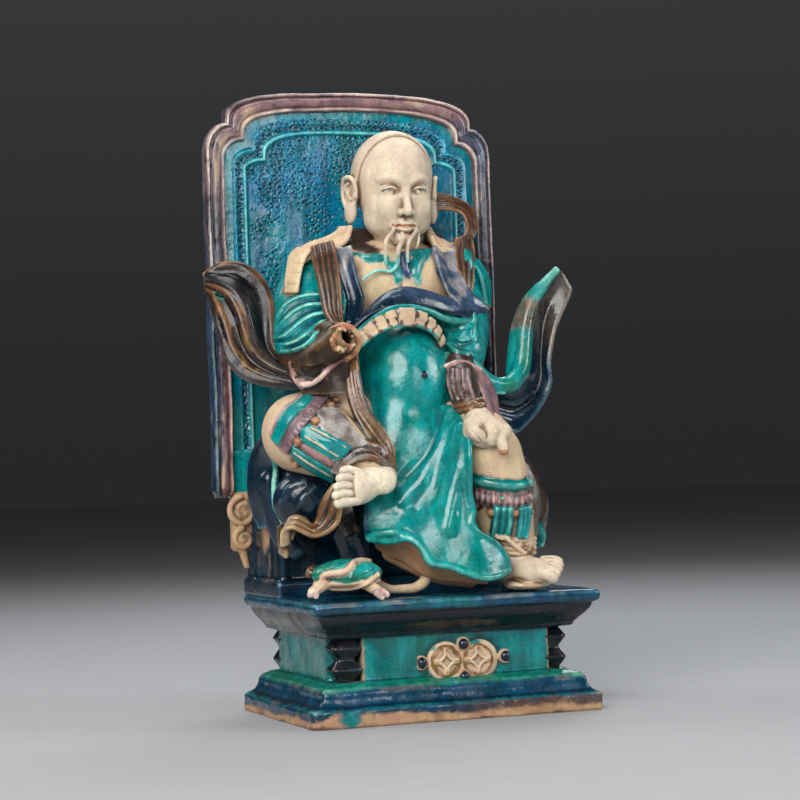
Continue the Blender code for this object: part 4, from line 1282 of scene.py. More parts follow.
def seat_block():
    def side(P, u, w, rel, n1, n2):
        c, g = tone("navy", rel, n1, n2)
        c2, _ = tone("blue", rel, n1, n2)
        front = (P[:, 1] < 8)
        k = (smooth(-0.3, 0.4, n1) * np.where(front, 0.9, 0.25))[:, None]
        c = c * (1 - k) + c2 * k
        t, _ = tone("blue", rel + 0.1, n1, n2)
        k = (smooth(170, 190, P[:, 2] + 8 * n1))[:, None] * 0.8
        c = c * (1 - k) + t * k
        b, gb = tone("bare", rel, n1, n2)
        k = smooth(0.42, 0.56, noise(P * [1, 1, 0.45], 12, 44) + 0.2 * n2) * (P[:, 0] < -108) * smooth(100, 118, P[:, 2]) * smooth(50, 36, P[:, 1])
        c = c * (1 - k[:, None]) + b * k[:, None]
        return c, g * (1 - k) + gb * k
    parts = [Slab((-16, 48, 144), (96, 43, 51), side, r=3.5),
             Slab((-16, 45.5, 99), (99, 47, 7), side, r=3, k=3),
             Slab((-16, 79.5, 132), (93, 10, 42), side, r=3, k=2)]
    F = Model("seat_block", 1.35, parts, grow=4)
    # posts on the front corners, and two grooves down the left side
    for x in (-108, 76):
        F.add(Tube([[x, 6, 97, 4.2], [x, 6.4, 150, 3.8], [x, 7, 192, 4.2]], side, k=2))
    F.add(Tube([[-111.5, 20, 100, 1.6], [-111.5, 21, 190, 1.6]], side, k=1, cut=True))
    F.add(Tube([[-111.5, 66, 100, 1.6], [-111.5, 66, 190, 1.6]], side, k=1, cut=True))
    skin(F, GLOSSY)


def scrolls():
    """Scroll brackets under the ends of the throne back."""
    for tag, sx in (("left", -1), ("right", 1)):
        cx = PX + sx * 101.5

        def col(P, u, w, rel, n1, n2):
            c, g = tone("bare", rel, n1, n2)
            b, gb = tone("navy", rel, n1, n2)
            k = smooth(0.2, 0.5, n2 + 0.3 * n1) * 0.5 + smooth(0.2, 0.0, sx * (P[:, 0] - cx) / 10 + 0.5) * 0.4
            k = np.clip(k, 0, 1)
            return c * (1 - k[:, None]) + b * k[:, None], g * (1 - k) + gb * k

        parts = [Slab((cx - sx * 4, 80.5, 152), (13, 7, 24), col, r=4, k=2)]
        F = Model("scroll_%s" % tag, 0.6, parts, grow=14)
        for z, R, turns in ((160, 12.0, 1.6), (138, 8.5, 1.4)):
            pts = []
            for t in np.linspace(0, 1, 40):
                a = math.radians(100) + t * turns * 2 * math.pi
                r = R * (1 - 0.8 * t)
                pts.append([cx + sx * (r * math.cos(a) * -1 + 1), 73.5 - 1.5 * t, z + r * math.sin(a), 2.7 - 1.1 * t])
            F.add(Tube(pts, col, k=1.2))
            F.add(Ball((cx + sx, 77.5, z), (R, 6.5, R), col, k=1.0))
        F.add(Tube([[cx + sx * 2, 76, 130, 3.4], [cx - sx * 1, 77, 120, 2.8], [cx - sx * 3, 78, 112, 2.0]], col, k=2))
        skin(F, GLOSSY)


# --------------------------------------------------------------- head
HEAD_C = at(393.5, 190, 9)
_yaw, _tip = math.radians(-3.0), math.radians(9.0)
_M = np.array([[math.cos(_yaw), -math.sin(_yaw), 0], [math.sin(_yaw), math.cos(_yaw), 0], [0, 0, 1]]) @ \
    np.array([[1, 0, 0], [0, math.cos(_tip), -math.sin(_tip)], [0, math.sin(_tip), math.cos(_tip)]])


def hd(*rows):
    """Rows in head axes (across, depth, height, radius) to model rows."""
    out = []
    for r in rows:
        p = HEAD_C + _M @ np.array(r[:3], float)
        out.append([*p, *r[3:]])
    return out


def hball(c, r, col="skin", **kw):
    return Ball(hd(c)[0], r, col, turn=(9.0, 0, -3.0), **kw)


def htube(*rows, col="skin", **kw):
    return Tube(hd(*rows), col, step=1.4, **kw)


def on_skull(x, z, out=0.0):
    k = 1 - (x / 30.5) ** 2 - ((z - 8) / 35.5) ** 2
    return 2 - 36 * math.sqrt(max(k, 0.0)) - out


def head():
    base = [hball((0, 2, 8), (30.5, 36, 35.5)), hball((0, -7.5, -14), (25.0, 25.0, 29.5), k=9),
            Tube(V([(395, 232, 14, 16.5), (394, 262, 16, 18)]), "skin", k=5)]
    F = Model("head", 0.46, base, grow=9)
    for s in (-1, 1):
        F.add(hball((s * 14.0, -19.5, -13.5), (9.5, 10.5, 10), k=6),
              hball((s * 17.5, -12, -24), (8, 11, 9), k=6))
    # brow, sockets, eyes with lowered lids
    for s in (-1, 1):
        F.add(htube((s * 20, -24.4, 8.0, 1.4), (s * 14, -29.2, 10.2, 2.0), (s * 7, -31.6, 9.0, 2.1), (s * 2.6, -31.8, 6.0, 1.9), k=3.0))
    for s in (-1, 1):
        F.add(hball((s * 12, -34.0, 1.2), (8.2, 5.4, 4.8), k=3.2, cut=True),
              hball((s * 12, -25.0, 0.0), (6.8, 5.4, 4.2), k=0.9))
        F.add(htube((s * 18.8, -24.8, -0.8, 0.8), (s * 15.6, -28.8, 2.0, 1.1), (s * 11.6, -30.5, 3.0, 1.2), (s * 8, -29.9, 1.8, 1.0), (s * 5.4, -29.0, -0.8, 0.8), k=0.7),
              htube((s * 18.2, -25.2, -1.8, 0.6), (s * 15, -28.4, -2.9, 0.8), (s * 11.4, -29.6, -3.3, 0.85), (s * 8, -29.3, -2.6, 0.8), (s * 5.8, -28.9, -1.2, 0.6), k=0.7))
        # painted shade: the crease between the lids is coloured grey
        F.add(htube((s * 17.4, -27.6, 0.2, 0.3), (s * 14, -30.4, 1.0, 0.4), (s * 11, -31.2, 1.0, 0.4), (s * 7.2, -30.6, 0.2, 0.3), k=0.4, cut=True, col="grey"),
              hball((s * 11.6, -30.1, -0.9), (2.0, 0.8, 1.5), k=0.3, bias=0.3))
        F.add(htube((s * 19, -26.2, 4.2, 0.4), (s * 14, -30.4, 6.2, 0.5), (s * 8.4, -31.6, 5.2, 0.4), k=1.0, cut=True))
    # nose
    F.add(htube((0, -30.6, 7, 2.3), (0, -33.6, -2, 2.6), (0, -36.8, -10, 3.0), (0, -38.4, -14.8, 3.8), k=2.4),
          hball((4.5, -34.2, -16.4), (3.0, 3.9, 2.9), k=1.4), hball((-4.5, -34.2, -16.4), (3.0, 3.9, 2.9), k=1.4),
          hball((0, -38.0, -15.8), (3.9, 3.9, 3.3), k=1.6))
    for s in (-1, 1):
        # painted shade: the nostrils are coloured dark brown
        F.add(hball((s * 2.5, -37.0, -19.2), (1.3, 1.9, 1.2), k=0.7, cut=True, col="brown"),
              htube((s * 8.2, -30.6, -14.5, 0.5), (s * 10, -28.6, -20, 0.6), (s * 11.5, -26.6, -25, 0.4), k=1.6, cut=True))
    # mouth, at rest
    F.add(htube((0, -32.6, -21, 0.6), (0, -32.5, -24, 0.6), k=1.2, cut=True),
          hball((0, -28.0, -27), (9.5, 5.6, 5.5), k=3.5))
    F.add(htube((-8.6, -29.8, -26.2, 0.8), (-4.2, -33.4, -24.9, 1.5), (0, -34.1, -25.4, 1.6), (4.2, -33.4, -24.9, 1.5), (8.6, -29.8, -26.2, 0.8), k=0.9),
          htube((-7.2, -30.2, -28.2, 0.9), (-3.4, -33.2, -29.4, 1.8), (0, -33.8, -29.7, 2.0), (3.4, -33.2, -29.4, 1.8), (7.2, -30.2, -28.2, 0.9), k=0.9),
          # painted shade: the parting of the lips is coloured rust
          htube((-9.4, -30.6, -26.8, 0.3), (-4, -35.0, -27.1, 0.35), (0, -35.8, -27.4, 0.35), (4, -35.0, -27.1, 0.35), (9.4, -30.6, -26.8, 0.3), k=0.9, cut=True, col="rust"))
    F.add(htube((-5, -31.0, -33, 1.0), (0, -32.2, -33.6, 1.3), (5, -31.0, -33, 1.0), k=2.5, cut=True),
          hball((0, -26.5, -37.5), (8.5, 7, 6), k=4))
    # hair: a smooth cap that ends in a low ridge across the crown and down the temples
    pl, nn = np.array([0, -4.5, 38.0]), np.array([-0.09, 0.980, 0.176])
    cc, cr = np.array([0, 6.0, 9.2]), np.array([32.8, 36.2, 37.6])
    F.add(Cap(hd(cc)[0], cr, "skin", hd(pl)[0], _M @ nn, k=0.5, turn=(9.0, 0, -3.0)))
    p0 = cc - nn * float((cc - pl) @ nn)
    rows = []
    for a_ in np.radians(np.arange(-104, 105, 8)):
        d = np.array([math.sin(a_), 0, 0]) + np.array([0, -0.177, 0.984]) * math.cos(a_)
        d -= nn * float(d @ nn)
        q, e = (p0 - cc) / cr, d / cr
        A_, B_, C_ = e @ e, q @ e, q @ q - 1
        t = (-B_ + math.sqrt(B_ * B_ - A_ * C_)) / A_
        rows.append((*(p0 + d * (t - 0.7)), 1.35))
    F.add(htube(*rows, k=0.8))
    # ears with long lobes, standing a little off the head
    for s in (-1, 1):
        F.add(Ball(hd((s * 33.6, 5.6, -3))[0], (3.0, 8.6, 12.0), "skin", k=2.0, turn=(9, 0, -s * 24)),
              Ball(hd((s * 34.2, 3.6, -18.0))[0], (3.9, 6.4, 9.2), "skin", k=1.8, turn=(9, 0, -s * 20)))
        F.add(htube((s * 31.6, -3.6, -6, 1.3), (s * 32.6, -4.2, 1, 1.5), (s * 34.2, -1.2, 7.6, 1.8), (s * 36.6, 4.4, 9.6, 1.9), (s * 38.8, 10.6, 7, 1.9),
                    (s * 39.2, 12.6, -1, 1.9), (s * 37.8, 10.4, -9, 2.0), (s * 36.4, 6.4, -15, 2.2), k=0.9),
              htube((s * 35.0, 0.6, -8, 1.2), (s * 36.6, 4.6, -4.4, 1.2), (s * 37.6, 7.0, 1, 1.2), (s * 36.6, 3.6, 4.6, 1.0), k=0.9),
              hball((s * 35.6, 0.6, -1.6), (2.0, 2.6, 4.6), k=1.6, cut=True, col="cream"),
              hball((s * 33.0, -4.0, -4.6), (1.8, 1.8, 2.8), k=0.9))
    # long strands of moustache and beard
    def tipcol(P, u, w, rel, n1, n2):
        c, g = tone("skin", rel * 0.4, n1, n2)
        t, gt = tone("teal_light", rel * 0.4 + 0.3, n1, n2)
        k = smooth(250, 262, seen(P)[1] + 3 * noise(P, 5, 88))
        return c * (1 - k[:, None]) + t * k[:, None], g * (1 - k) + gt * k
    a0, a1, a2 = hd((-3.0, -33.6, -22.6)), hd((-7.6, -32.2, -25.4)), hd((-9.4, -30.6, -31))
    b0, b1, b2 = hd((3.0, -33.6, -22.6)), hd((7.6, -32.2, -25.4)), hd((9.4, -30.6, -31))
    F.add(Tube([[*a0[0], 1.1], [*a1[0], 1.6], [*a2[0], 1.6]] + V([(386.4, 240, -25.5, 1.6), (385.6, 251, -24, 1.6), (385.6, 264, -20.5, 1.3)]), tipcol, k=0.8, bias=0.2),
          Tube([[*b0[0], 1.1], [*b1[0], 1.6], [*b2[0], 1.6]] + V([(409.8, 240, -25.5, 1.6), (407.6, 251, -24, 1.5), (407.8, 261.5, -21.4, 1.1)]), tipcol, k=0.8, bias=0.2),
          Tube([[*hd((-2.4, -32.0, -33))[0], 1.5], [*hd((-1.6, -33.0, -38))[0], 2.0]] + V([(398.4, 249, -26, 1.9), (397.8, 258, -24, 1.7), (397, 265, -21.6, 1.7), (391, 271.4, -21.4, 1.6),
             (384, 270.6, -21.4, 1.4), (376, 271, -20.4, 1.3), (369, 275, -19.6, 1.2), (362.6, 279.4, -18.4, 0.9)]), tipcol, k=0.8, bias=0.2),
          Tube([[*hd((13, -24.6, -31))[0], 1.0]] + V([(418.6, 241, -19, 1.2), (416.2, 248, -18.6, 0.9)]), "skin", k=1.0))
    skin(F, GLOSSY, jitter=0.5)


# --------------------------------------------------------------- trunk
def trunk():
    base = [lump("teal", 392, 296, 20, 60, 38, 46), lump("teal", 392, 350, 34, 66, 40, 70),
            tb("teal", (318, 280, 22, 26), (392, 274, 24, 27), (456, 288, 20, 23), k=6),
            lump("belly", 401, 390, -8, 40, 47.5, 60, k=3), lump("belly", 398, 434, -12, 38, 42, 40, k=9), lump("teal", 392, 432, 12, 70, 44, 36, k=6)]
    solids, robe, cols = skirt_solids()
    F = Model("trunk", 0.92, base + solids, grow=9)
    chest = [lump("cream", 384, 283, -4, 22, 14, 22, k=6), lump("cream", 422, 283, -3, 20, 14, 22, k=6),
             tb("cream", (352, 262, -4, 5), (394, 258, -6, 6), (436, 258, 0, 5), k=5)]
    F.add(*chest)
    for c in chest:
        c.base = True
    F.paints.append(([(350, 254), (366, 257), (394, 259), (436, 252), (452, 276), (462, 306), (400, 300), (350, 322), (350, 290)], "cream", -120, 20))
    F.add(Tube(F.on([(400, 284, .8), (403, 290, 1.0), (402, 297, 0.8)], 0), "cream", k=3, cut=True),
          Ball(F.on([(396, 290, 1)], -1)[0][:3], (4, 2, 3.2), "cream", k=2.5), Ball(F.on([(408, 288, 1)], -1)[0][:3], (4, 2, 3), "cream", k=2.5))
    # undershirt collar and the trailing ends
    F.add(Tube(F.on([(352, 254.5, 2.0), (366, 257, 2.4), (384, 258.5, 2.2)], -0.8), "teal", k=1.0, bias=1.2),
          Tube(F.on([(411, 253, 2.0), (422, 251.5, 2.4), (434, 250.5, 2.0)], -0.8), "teal", k=1.0, bias=1.2),
          Tube(F.on([(424, 255, 2.6), (418, 262, 3.4), (415, 271, 3.0), (416.7, 284, 0.9)], -1.6), "teal", k=1.0, bias=1.4),
          Tube(F.on([(403.5, 257, 3.0), (404.6, 266, 3.2), (407.4, 277, 1.0)], -1.6), "slate", k=1.0, bias=1.6),
          Tube(F.on([(388, 264, 1.4), (392, 269, 1.8), (396, 276, 1.4), (399, 285, 0.8)], -0.8), "teal_light", k=1.0, bias=0.9))
    F.paints.append(([(388, 262), (399, 262), (403, 274), (402, 286), (397, 284), (391, 272)], "teal_light", -120, 20))

    def lapel(P, u, w, rel, n1, n2):
        a, ga = tone("slate", rel * 0.6 + 0.25 * n2, n1, n2)
        b, gb = tone("navy", rel * 0.8, n1, n2)
        k = smooth(0.22, 0.6, u + 0.25 * n1)
        pale, _ = tone("pearl", rel + 0.2, n1, n2)
        q = (smooth(-0.1, 0.4, noise(P, 9, 80) + 0.3) * (1 - k) * 0.75)[:, None]
        a = a * (1 - q) + pale * q
        return a * (1 - k[:, None]) + b * k[:, None], ga * (1 - k) + gb * k

    def cup(t, s_):
        return 2.0 * (2 * s_ - 1) ** 2 - 0.8
    F.add(Sheet([cv((333, 249, -2), (336, 260, -7), (345, 283, -14), (350, 302, -20), (349, 323, -27)),
                 cv((350, 248.5, -8), (352, 260.6, -14), (357.5, 281, -21), (363, 301.4, -28), (356, 322, -33))], lapel, 1.8, cup, k=0.8, bias=1.0))

    def lapel2(P, u, w, rel, n1, n2):
        a, ga = tone("slate", rel * 0.6, n1, n2)
        pale, _ = tone("pearl", rel * 0.5 + 0.3, n1, n2)
        q = (smooth(-0.25, 0.3, noise(P, 7, 81) + 0.3 * n1) * 0.7)[:, None]
        return a * (1 - q) + pale * q, ga
    F.add(Sheet([cv((433, 249, -5), (436.5, 260.6, -13), (441, 277, -19), (448, 294, -25), (458, 306, -26)),
                 cv((453, 249, 3), (454, 263, -3), (465, 288, -9), (477.5, 302, -10), (486, 309, -7))], lapel2, 1.8, cup, k=0.8, bias=1.0))
    # teal panels outside the lapels
    F.add(Sheet([cv((331, 256, 0), (333, 275, -8), (338, 300, -16), (340, 325, -22)),
                 cv((337, 258, -4), (345, 283, -12), (350, 303, -19), (349, 325, -26))], "teal", 2.2, k=1.5, bias=0.4))
    # broad sash that arches over the belly: navy glaze turning to paler slate towards the upper edge, partly the slate
    # glaze and partly a painted highlight
    def arc(P, u, w, rel, n1, n2):
        a, ga = tone("navy", rel * 0.9, n1, n2)
        b, _ = tone("slate", rel * 0.9 + 0.1, n1, n2)
        k = (smooth(0.15, 0.7, w + 0.3 * n1 + 0.15 * n2) * 0.8 + smooth(0.55, 0.8, u) * 0.3)[:, None]
        k = np.clip(k, 0, 1)
        return a * (1 - k) + b * k, ga
    top = cv((347, 335, -29), (356, 326, -33), (368, 311, -36), (381, 298, -36), (394, 291, -36), (407, 288.5, -35), (426, 291.5, -33), (447, 299, -29), (466, 305.5, -20), (483, 310, -9))
    bot = cv((344, 340, -33), (352, 331, -38), (368, 316.5, -42), (382, 308.5, -43), (394, 305, -43), (410, 303.8, -42), (428, 306.5, -39), (448, 311.5, -34), (466, 315, -25), (482, 313.4, -12))
    F.add(Sheet([bot, top], arc, lambda t, s_: 2.2 - 0.5 * np.abs(2 * s_ - 1), lambda t, s_: 0.9 * np.sin(np.pi * s_) + 0.35 * np.sin(t * 13 + s_ * 3), k=1.0, bias=1.4))
    F.add(Ball(at(483, 311.5, -10), (3.2, 3.2, 3.2), "bare", k=1.2, bias=1))
    F.add(Tube(F.on([(392, 295.5, 0.6), (400, 293.8, .7), (410, 293.5, .7), (422, 296, .6)], 0), "navy", k=0.8, cut=True))
    # thin teal piping under the sash, then the belt of plaques
    F.add(Tube(V([(350, 341, -40, 2.4), (361, 330.5, -44.5, 2.8), (375, 319, -48, 3.0), (391, 309.5, -48, 2.8), (410, 307.5, -47, 2.8), (429, 311.5, -43.5, 2.8), (446, 319, -38, 2.8), (464, 321, -27, 2.6), (478, 317.5, -14, 2.0)]), "teal", k=1.6, bias=0.4))
    path = even(np.array(V([(357, 344, -46, 3.2), (364.5, 336, -49, 3.8), (374, 327.5, -52, 4.4), (386, 320.5, -54, 4.8), (402, 315.6, -54.8, 6.0), (418, 317.2, -53, 5.4), (430, 323.5, -49.5, 4.6), (438.5, 332.5, -45, 4.0), (443.5, 345, -40.5, 3.2)])), 90)
    F.add(Tube([[*(r[:3] + [0, 2.8, 0]), r[3] * 0.9] for r in path[::4]], "brown", k=1.0))
    cuts = [0, 10, 19, 28, 37, 52, 63, 72, 81, 89]
    for i, (a, b) in enumerate(zip(cuts[:-1], cuts[1:])):
        d = path[b, :3] - path[a, :3]
        d /= np.linalg.norm(d)
        nrm = np.cross(d, [0, 0, 1.0])
        nrm /= np.linalg.norm(nrm) + 1e-9
        side = np.cross(nrm, d)
        hw = float(path[(a + b) // 2, 3]) - 0.8
        ends = [path[a, :3] + d * 2.3, path[b, :3] - d * 2.3]
        proud = 1.0 if i == 4 else 0.0
        F.add(Sheet([[[*(e + side * hw + [0, -proud, 0])] for e in ends], [[*(e - side * hw + [0, -proud, 0])] for e in ends]], "cream", 1.7, k=0.2, bias=1.2, pitch=0.7))
        for e in (path[a, :3], path[b, :3]):
            F.add(Tube([[*(e + side * (hw + 2) + [0, -2.2 - proud, 0]), 0.9], [*(e - side * (hw + 2) + [0, -2.2 - proud, 0]), 0.9]], "brown", k=0.3, cut=True))
    F.add(Tube([[*(r[:3] + [0, -0.6, -r[3] - 1.4]), 1.5] for r in path[4:-4:4]], "belly", k=1.4, bias=0.5))
    # folds where the belly meets the arm
    for rows in (((447, 350, 2.0), (450, 372, 2.2), (448, 400, 1.8)),):
        F.add(Tube(F.on(rows, -0.6), "teal", k=3))
    F.add(Ball(F.on([(424.5, 375, 1)], -0.2)[0][:3], (2.4, 1.0, 2.4), "navy", k=0.8, bias=0.5))
    F.add(Ball(F.on([(423, 348.5, 1)], -0.2)[0][:3], (1.0, 0.8, 1.0), "teal_light", k=0.8))
    # collar of the outer robe
    F.add(Sheet([cv((344, 221, 14), (338, 232, 14), (325, 240, 14), (308, 246, 14), (293, 256, 14)),
                 cv((350, 228, 2), (346, 240, 0), (334, 248, -2), (318, 253, -2), (304, 261, 0))], "cream", 2.2, lambda t, s_: -1.6 * np.sin(np.pi * s_), k=1.0, bias=1.2),
          tb("cream", (345, 221, 12, 2.4), (339, 232, 12, 2.4), (326, 239.6, 12, 2.4), (308, 246, 13, 2.4), (294, 256, 13, 2.2), k=1.2),
          Sheet([cv((429, 228, 12), (434, 239, 9), (446, 244.4, 10), (460, 245, 16)),
                 cv((432, 238, -2), (437, 247.5, -3), (448, 250.5, 0), (458, 251, 6))], "cream", 2.2, lambda t, s_: -1.2 * np.sin(np.pi * s_), k=1.0, bias=1.2))
    # cream on the neck and chest round the collar
    F.paints.append(([(340, 218), (445, 218), (438, 251), (411, 254), (384, 258), (352, 253), (342, 246)], "cream", -60, 90))
    # painted shade: dark brown fillers stand for the shadow in the hollow behind the collar
    F.add(tb("brown", (349, 241, 14, 6.5), (364, 240, 20, 9), (396, 240, 24, 12), (428, 240, 18, 8.5), (440, 243, 14, 5), k=3),
          tb("brown", (349, 229, 26, 5), (358, 230, 30, 8), (376, 232, 34, 10), k=4))
    # painted shadow: a brown patch by the jaw
    F.paints.append(([(348, 238), (362, 240), (378, 249), (384, 256), (352, 251)], "brown", -20, 90))
    skirt_folds(F, robe, cols)
    # knotted cloth over the viewer's right shoulder
    F.add(lump("teal", 462, 276, 12, 12, 16, 26, k=4))
    skin(F, GLOSSY)


def ribbon():
    """Fluted ribbon that loops out behind the head."""
    def band(P, u, w, rel, n1, n2):
        # relief raised so the flute ridges take the pale amber thin colour, partly a painted highlight over the brown
        # and amber glaze
        a, g = tone("brown", rel * 1.7, n1, n2)
        b, _ = tone("amber", rel * 1.7, n1, n2)
        k = (smooth(0.35, 0.8, np.sin(w * 20 + 1.4 * n1) + 0.5 * n2) * 0.75)[:, None]
        return a * (1 - k) + b * k, g

    def flute(t, s_):
        return 0.8 * np.sin(2 * np.pi * 3.2 * s_ + 0.6)
    up = Sheet([cv((428, 197, 30), (440, 195.4, 30), (454, 199, 28), (466, 205, 25), (473.6, 214, 22), (476.5, 225, 19), (473, 236, 14), (462, 247, 8)),
                cv((430, 211, 26), (442, 209, 25), (453, 210, 23), (462, 214, 20), (466, 221, 17), (467, 229, 14), (464, 237, 10), (454, 246, 5))], band, 1.9, flute, k=1.0)
    down = Sheet([cv((456, 240, 7), (454.5, 252, 2), (456, 268, -5), (459, 284, -9), (462, 299, -10)),
                  cv((469, 238, 11), (472, 250, 6), (472, 266, 0), (471, 284, -5), (468, 300, -8))], band, 2.0, flute, k=1.0)
    F = Model("ribbon", 0.7, [up, down], grow=6)
    F.add(Sheet([cv((470, 262, 0), (476, 266, -2), (482, 281, -4), (486, 303, -4)), cv((474, 258, 4), (483, 268, 4), (489.5, 284, 2), (489.5, 306, -1))], "teal", 1.6, k=0.8))
    skin(F, GLOSSY)
    strap = Sheet([cv((313, 249, -2), (315, 262, -10), (319.5, 280, -18), (323, 296, -23), (326, 312, -26), (333, 324, -30)),
                   cv((331, 244, -2), (333.5, 256, -10), (336, 275, -18), (338, 294, -24), (339, 312, -28), (341, 326, -32))], band, 2.6, flute, k=1.0)
    G = Model("shoulder_strap", 0.7, [strap], grow=6)
    skin(G, GLOSSY)


# --------------------------------------------------------------- arm with the open cuff
def open_arm():
    base = [tb("teal", (316, 282, 20, 24), (309, 300, 12, 27), (306, 322, 4, 28), (306, 344, -8, 25), (309, 356, -12, 18), k=5),
            tb("brown", (300, 352, -16, 18), (318, 348, -36, 16), (330, 344, -48, 13), k=4),
            tb("brown", (303, 368, -26, 13), (318, 360, -42, 14), (332, 348, -56, 13), (340, 341, -62, 12.5), k=3)]
    F = Model("open_sleeve_arm", 0.85, base, grow=9)
    F.paints.append(([(255, 250), (356, 250), (342, 322), (322, 330), (307, 344), (292, 352.5), (282, 353.5), (262, 350)], "teal", -130, 70))
    F.paints.append(([(262, 352), (282, 355.5), (292, 354.5), (307, 346), (322, 332), (342, 324), (372, 326), (364, 404), (290, 404)], patchy_flat("olive", "brown", 13, 6), -130, 70))
    # creases that fan out from the inside of the elbow
    fans = (((330, 296, 0.9), (318, 294.5, 1.4), (305, 295.5, 1.6), (293, 299.5, 1.6), (283, 307, 1.5), (277.5, 318, 1.0)),
            ((334, 306, 1.0), (322, 304, 1.5), (309, 305, 1.8), (297, 309.5, 1.8), (286, 318.5, 1.7), (277, 330, 1.2)),
            ((335, 314, 1.0), (324, 313, 1.5), (312, 315.5, 1.8), (301.5, 321.5, 1.9), (293, 329, 1.8), (284, 336, 1.6), (274, 338.5, 1.0)),
            ((333, 319.5, 1.0), (323, 321, 1.5), (314.5, 326.5, 1.8), (307, 334, 1.9), (298, 340.5, 1.9), (287, 344.5, 1.6), (275, 344.5, 1.0)),
            ((324, 326.5, 0.9), (317, 332, 1.4), (311, 339.5, 1.6), (303, 346, 1.6), (292, 350, 1.4), (281, 351, 1.0)),
            ((338, 309, 1.0), (331, 297, 1.3), (325, 284, 1.3), (320, 270, 0.9)))
    for f in fans:
        F.add(Tube(F.on(f, 0.1), "teal", k=2.0))
        F.add(Tube(F.on([(x, y, 0.6) for x, y, r in f[1:-1]], 0.4), "teal_light", k=0.9, bias=0.15))
    for f in (((332, 301.5, 0.7), (319, 299.8, 1.0), (306, 301, 1.2), (294, 305.3, 1.2), (284.5, 313.5, 1.1), (277.3, 324.5, 0.8)),
              ((334, 310.5, 0.8), (322, 308.8, 1.1), (310, 311, 1.3), (299, 316.3, 1.3), (289.5, 324, 1.2), (279.5, 333.6, 0.9)),
              ((333, 317.3, 0.8), (323, 317.6, 1.1), (313, 321.3, 1.3), (304.5, 328, 1.4), (296, 334.8, 1.3), (285, 340, 1.1), (275, 341.6, 0.7)),
              ((328, 322, 0.7), (319, 327, 1.1), (312, 334, 1.3), (304.5, 340.8, 1.3), (295, 345.6, 1.2), (284, 348, 0.9)),
              ((334, 302, .7), (328, 290, 1.0), (322, 277, .8))):
        F.add(Tube(F.on(f, 0.2), "teal", k=1.6, cut=True))
    # pale hem of the short sleeve
    F.add(Tube(V([(270, 322, 8, 2.0), (271, 338, 0, 2.2), (275, 349, -6, 2.4), (282, 354.6, -12, 2.4), (291, 353.6, -20, 2.4), (300, 348.6, -28, 2.4), (309, 340, -36, 2.2), (320, 331.5, -42, 2.0), (332, 326, -44, 1.6)]), "green", k=1.2, bias=0.8))
    F.add(Tube(V([(272, 342, -1, 1.4), (277, 352, -8, 1.6), (284, 358, -14, 1.6), (294, 357, -22, 1.6), (303, 351, -30, 1.5)]), "cream", k=0.8, bias=0.4))
    # cream segmented strip on the shoulder
    F.add(Sheet([cv((298, 249, 6), (291, 256, 7), (288.5, 268, 5), (286.8, 281, 1), (286.3, 292, -4)), cv((309, 251, -4), (304, 258, -7), (300.5, 268, -10), (298, 281, -14), (296.5, 291, -15))],
                "cream", 1.8, k=1.2, bias=1.2))
    for y, x0, x1 in ((263.5, 291, 303), (273, 288.4, 300), (283, 287, 297)):
        F.add(Tube(F.on([(x0, y, 0.5), ((x0 + x1) / 2, y + 0.8, 0.6), (x1, y + 0.4, 0.5)], 0.1), "brown", k=0.4, cut=True))
    # the cuff: folded edge, mouth and the broken tube
    F.add(Sheet([cv((310, 347, -38), (314, 334, -46), (322, 325, -52), (337, 325, -58), (350, 330, -62)), cv((318, 366, -38), (326, 358, -48), (332, 348, -56), (338, 338, -62), (346, 332, -64))], patchy("olive", "brown", 14, 0.1, 5), 2.4, k=2.2, bias=0.3))
    F.add(Tube(V([(334, 329, -62, 2.6), (342, 326, -65, 3.0), (351, 329, -66, 3.2), (356.5, 337, -65, 3.4), (357, 346, -63, 3.4), (352, 354, -62, 3.2), (344, 357, -61, 3.0), (336, 353, -61, 3.0), (331.6, 344, -61, 3.0), (331, 335, -61, 2.8), (334, 329, -62, 2.6)]),
               patchy("rust", "bare", 5, 0.0, 8), k=1.2, bias=0.9))
    axis = at(341.8, 339.8, -66) - at(312, 362, -34)
    axis /= np.linalg.norm(axis)
    hole = at(342.6, 340.4, -66)
    # painted shade: the bore of the broken tube is coloured ink
    F.add(Tube([[*(hole + axis * 8), 5.6], [*hole, 5.0], [*(hole - axis * 10), 4.6], [*(hole - axis * 24), 4.2]], "ink", k=1.0, cut=True))
    for q in range(46):
        a = 2 * math.pi * q / 46 + 0.2 * math.sin(q * 2.7)
        r = 8.6 + 2.6 * abs(math.sin(q * 5.1)) + 0.8 * math.sin(3 * a)
        F.dots([(342.6 + r * math.cos(a), 340.6 + r * 1.05 * math.sin(a), 1.2 + 0.55 * math.sin(q * 3.3))], ("rust", "bare", "brown", "rust", "cream", "amber")[q % 6], 0.15 + 0.3 * math.sin(q * 1.9))
    # turned mouth of the hanging sleeve; its hollow is coloured ink as painted shade
    F.add(Tube(V([(292, 364, -30, 2.0), (293.4, 373, -32, 2.4), (297.5, 381, -36, 2.6), (303.5, 384.5, -42, 2.6), (312, 383, -48, 2.4), (320.5, 377.5, -53, 2.2), (329, 368.5, -57, 2.0), (343, 357.5, -62, 1.6)]), "pink", k=1.2, bias=0.8),
          tb("brown", (293, 362, -24, 4), (296, 376, -28, 5), (306, 382, -36, 5), k=2))
    F.add(Tube(V([(300, 369, -46, 3.2), (306, 374, -48, 5.2), (315, 371.5, -53, 4.0), (323, 366.5, -57, 2.2)]), "ink", k=1.4, cut=True))
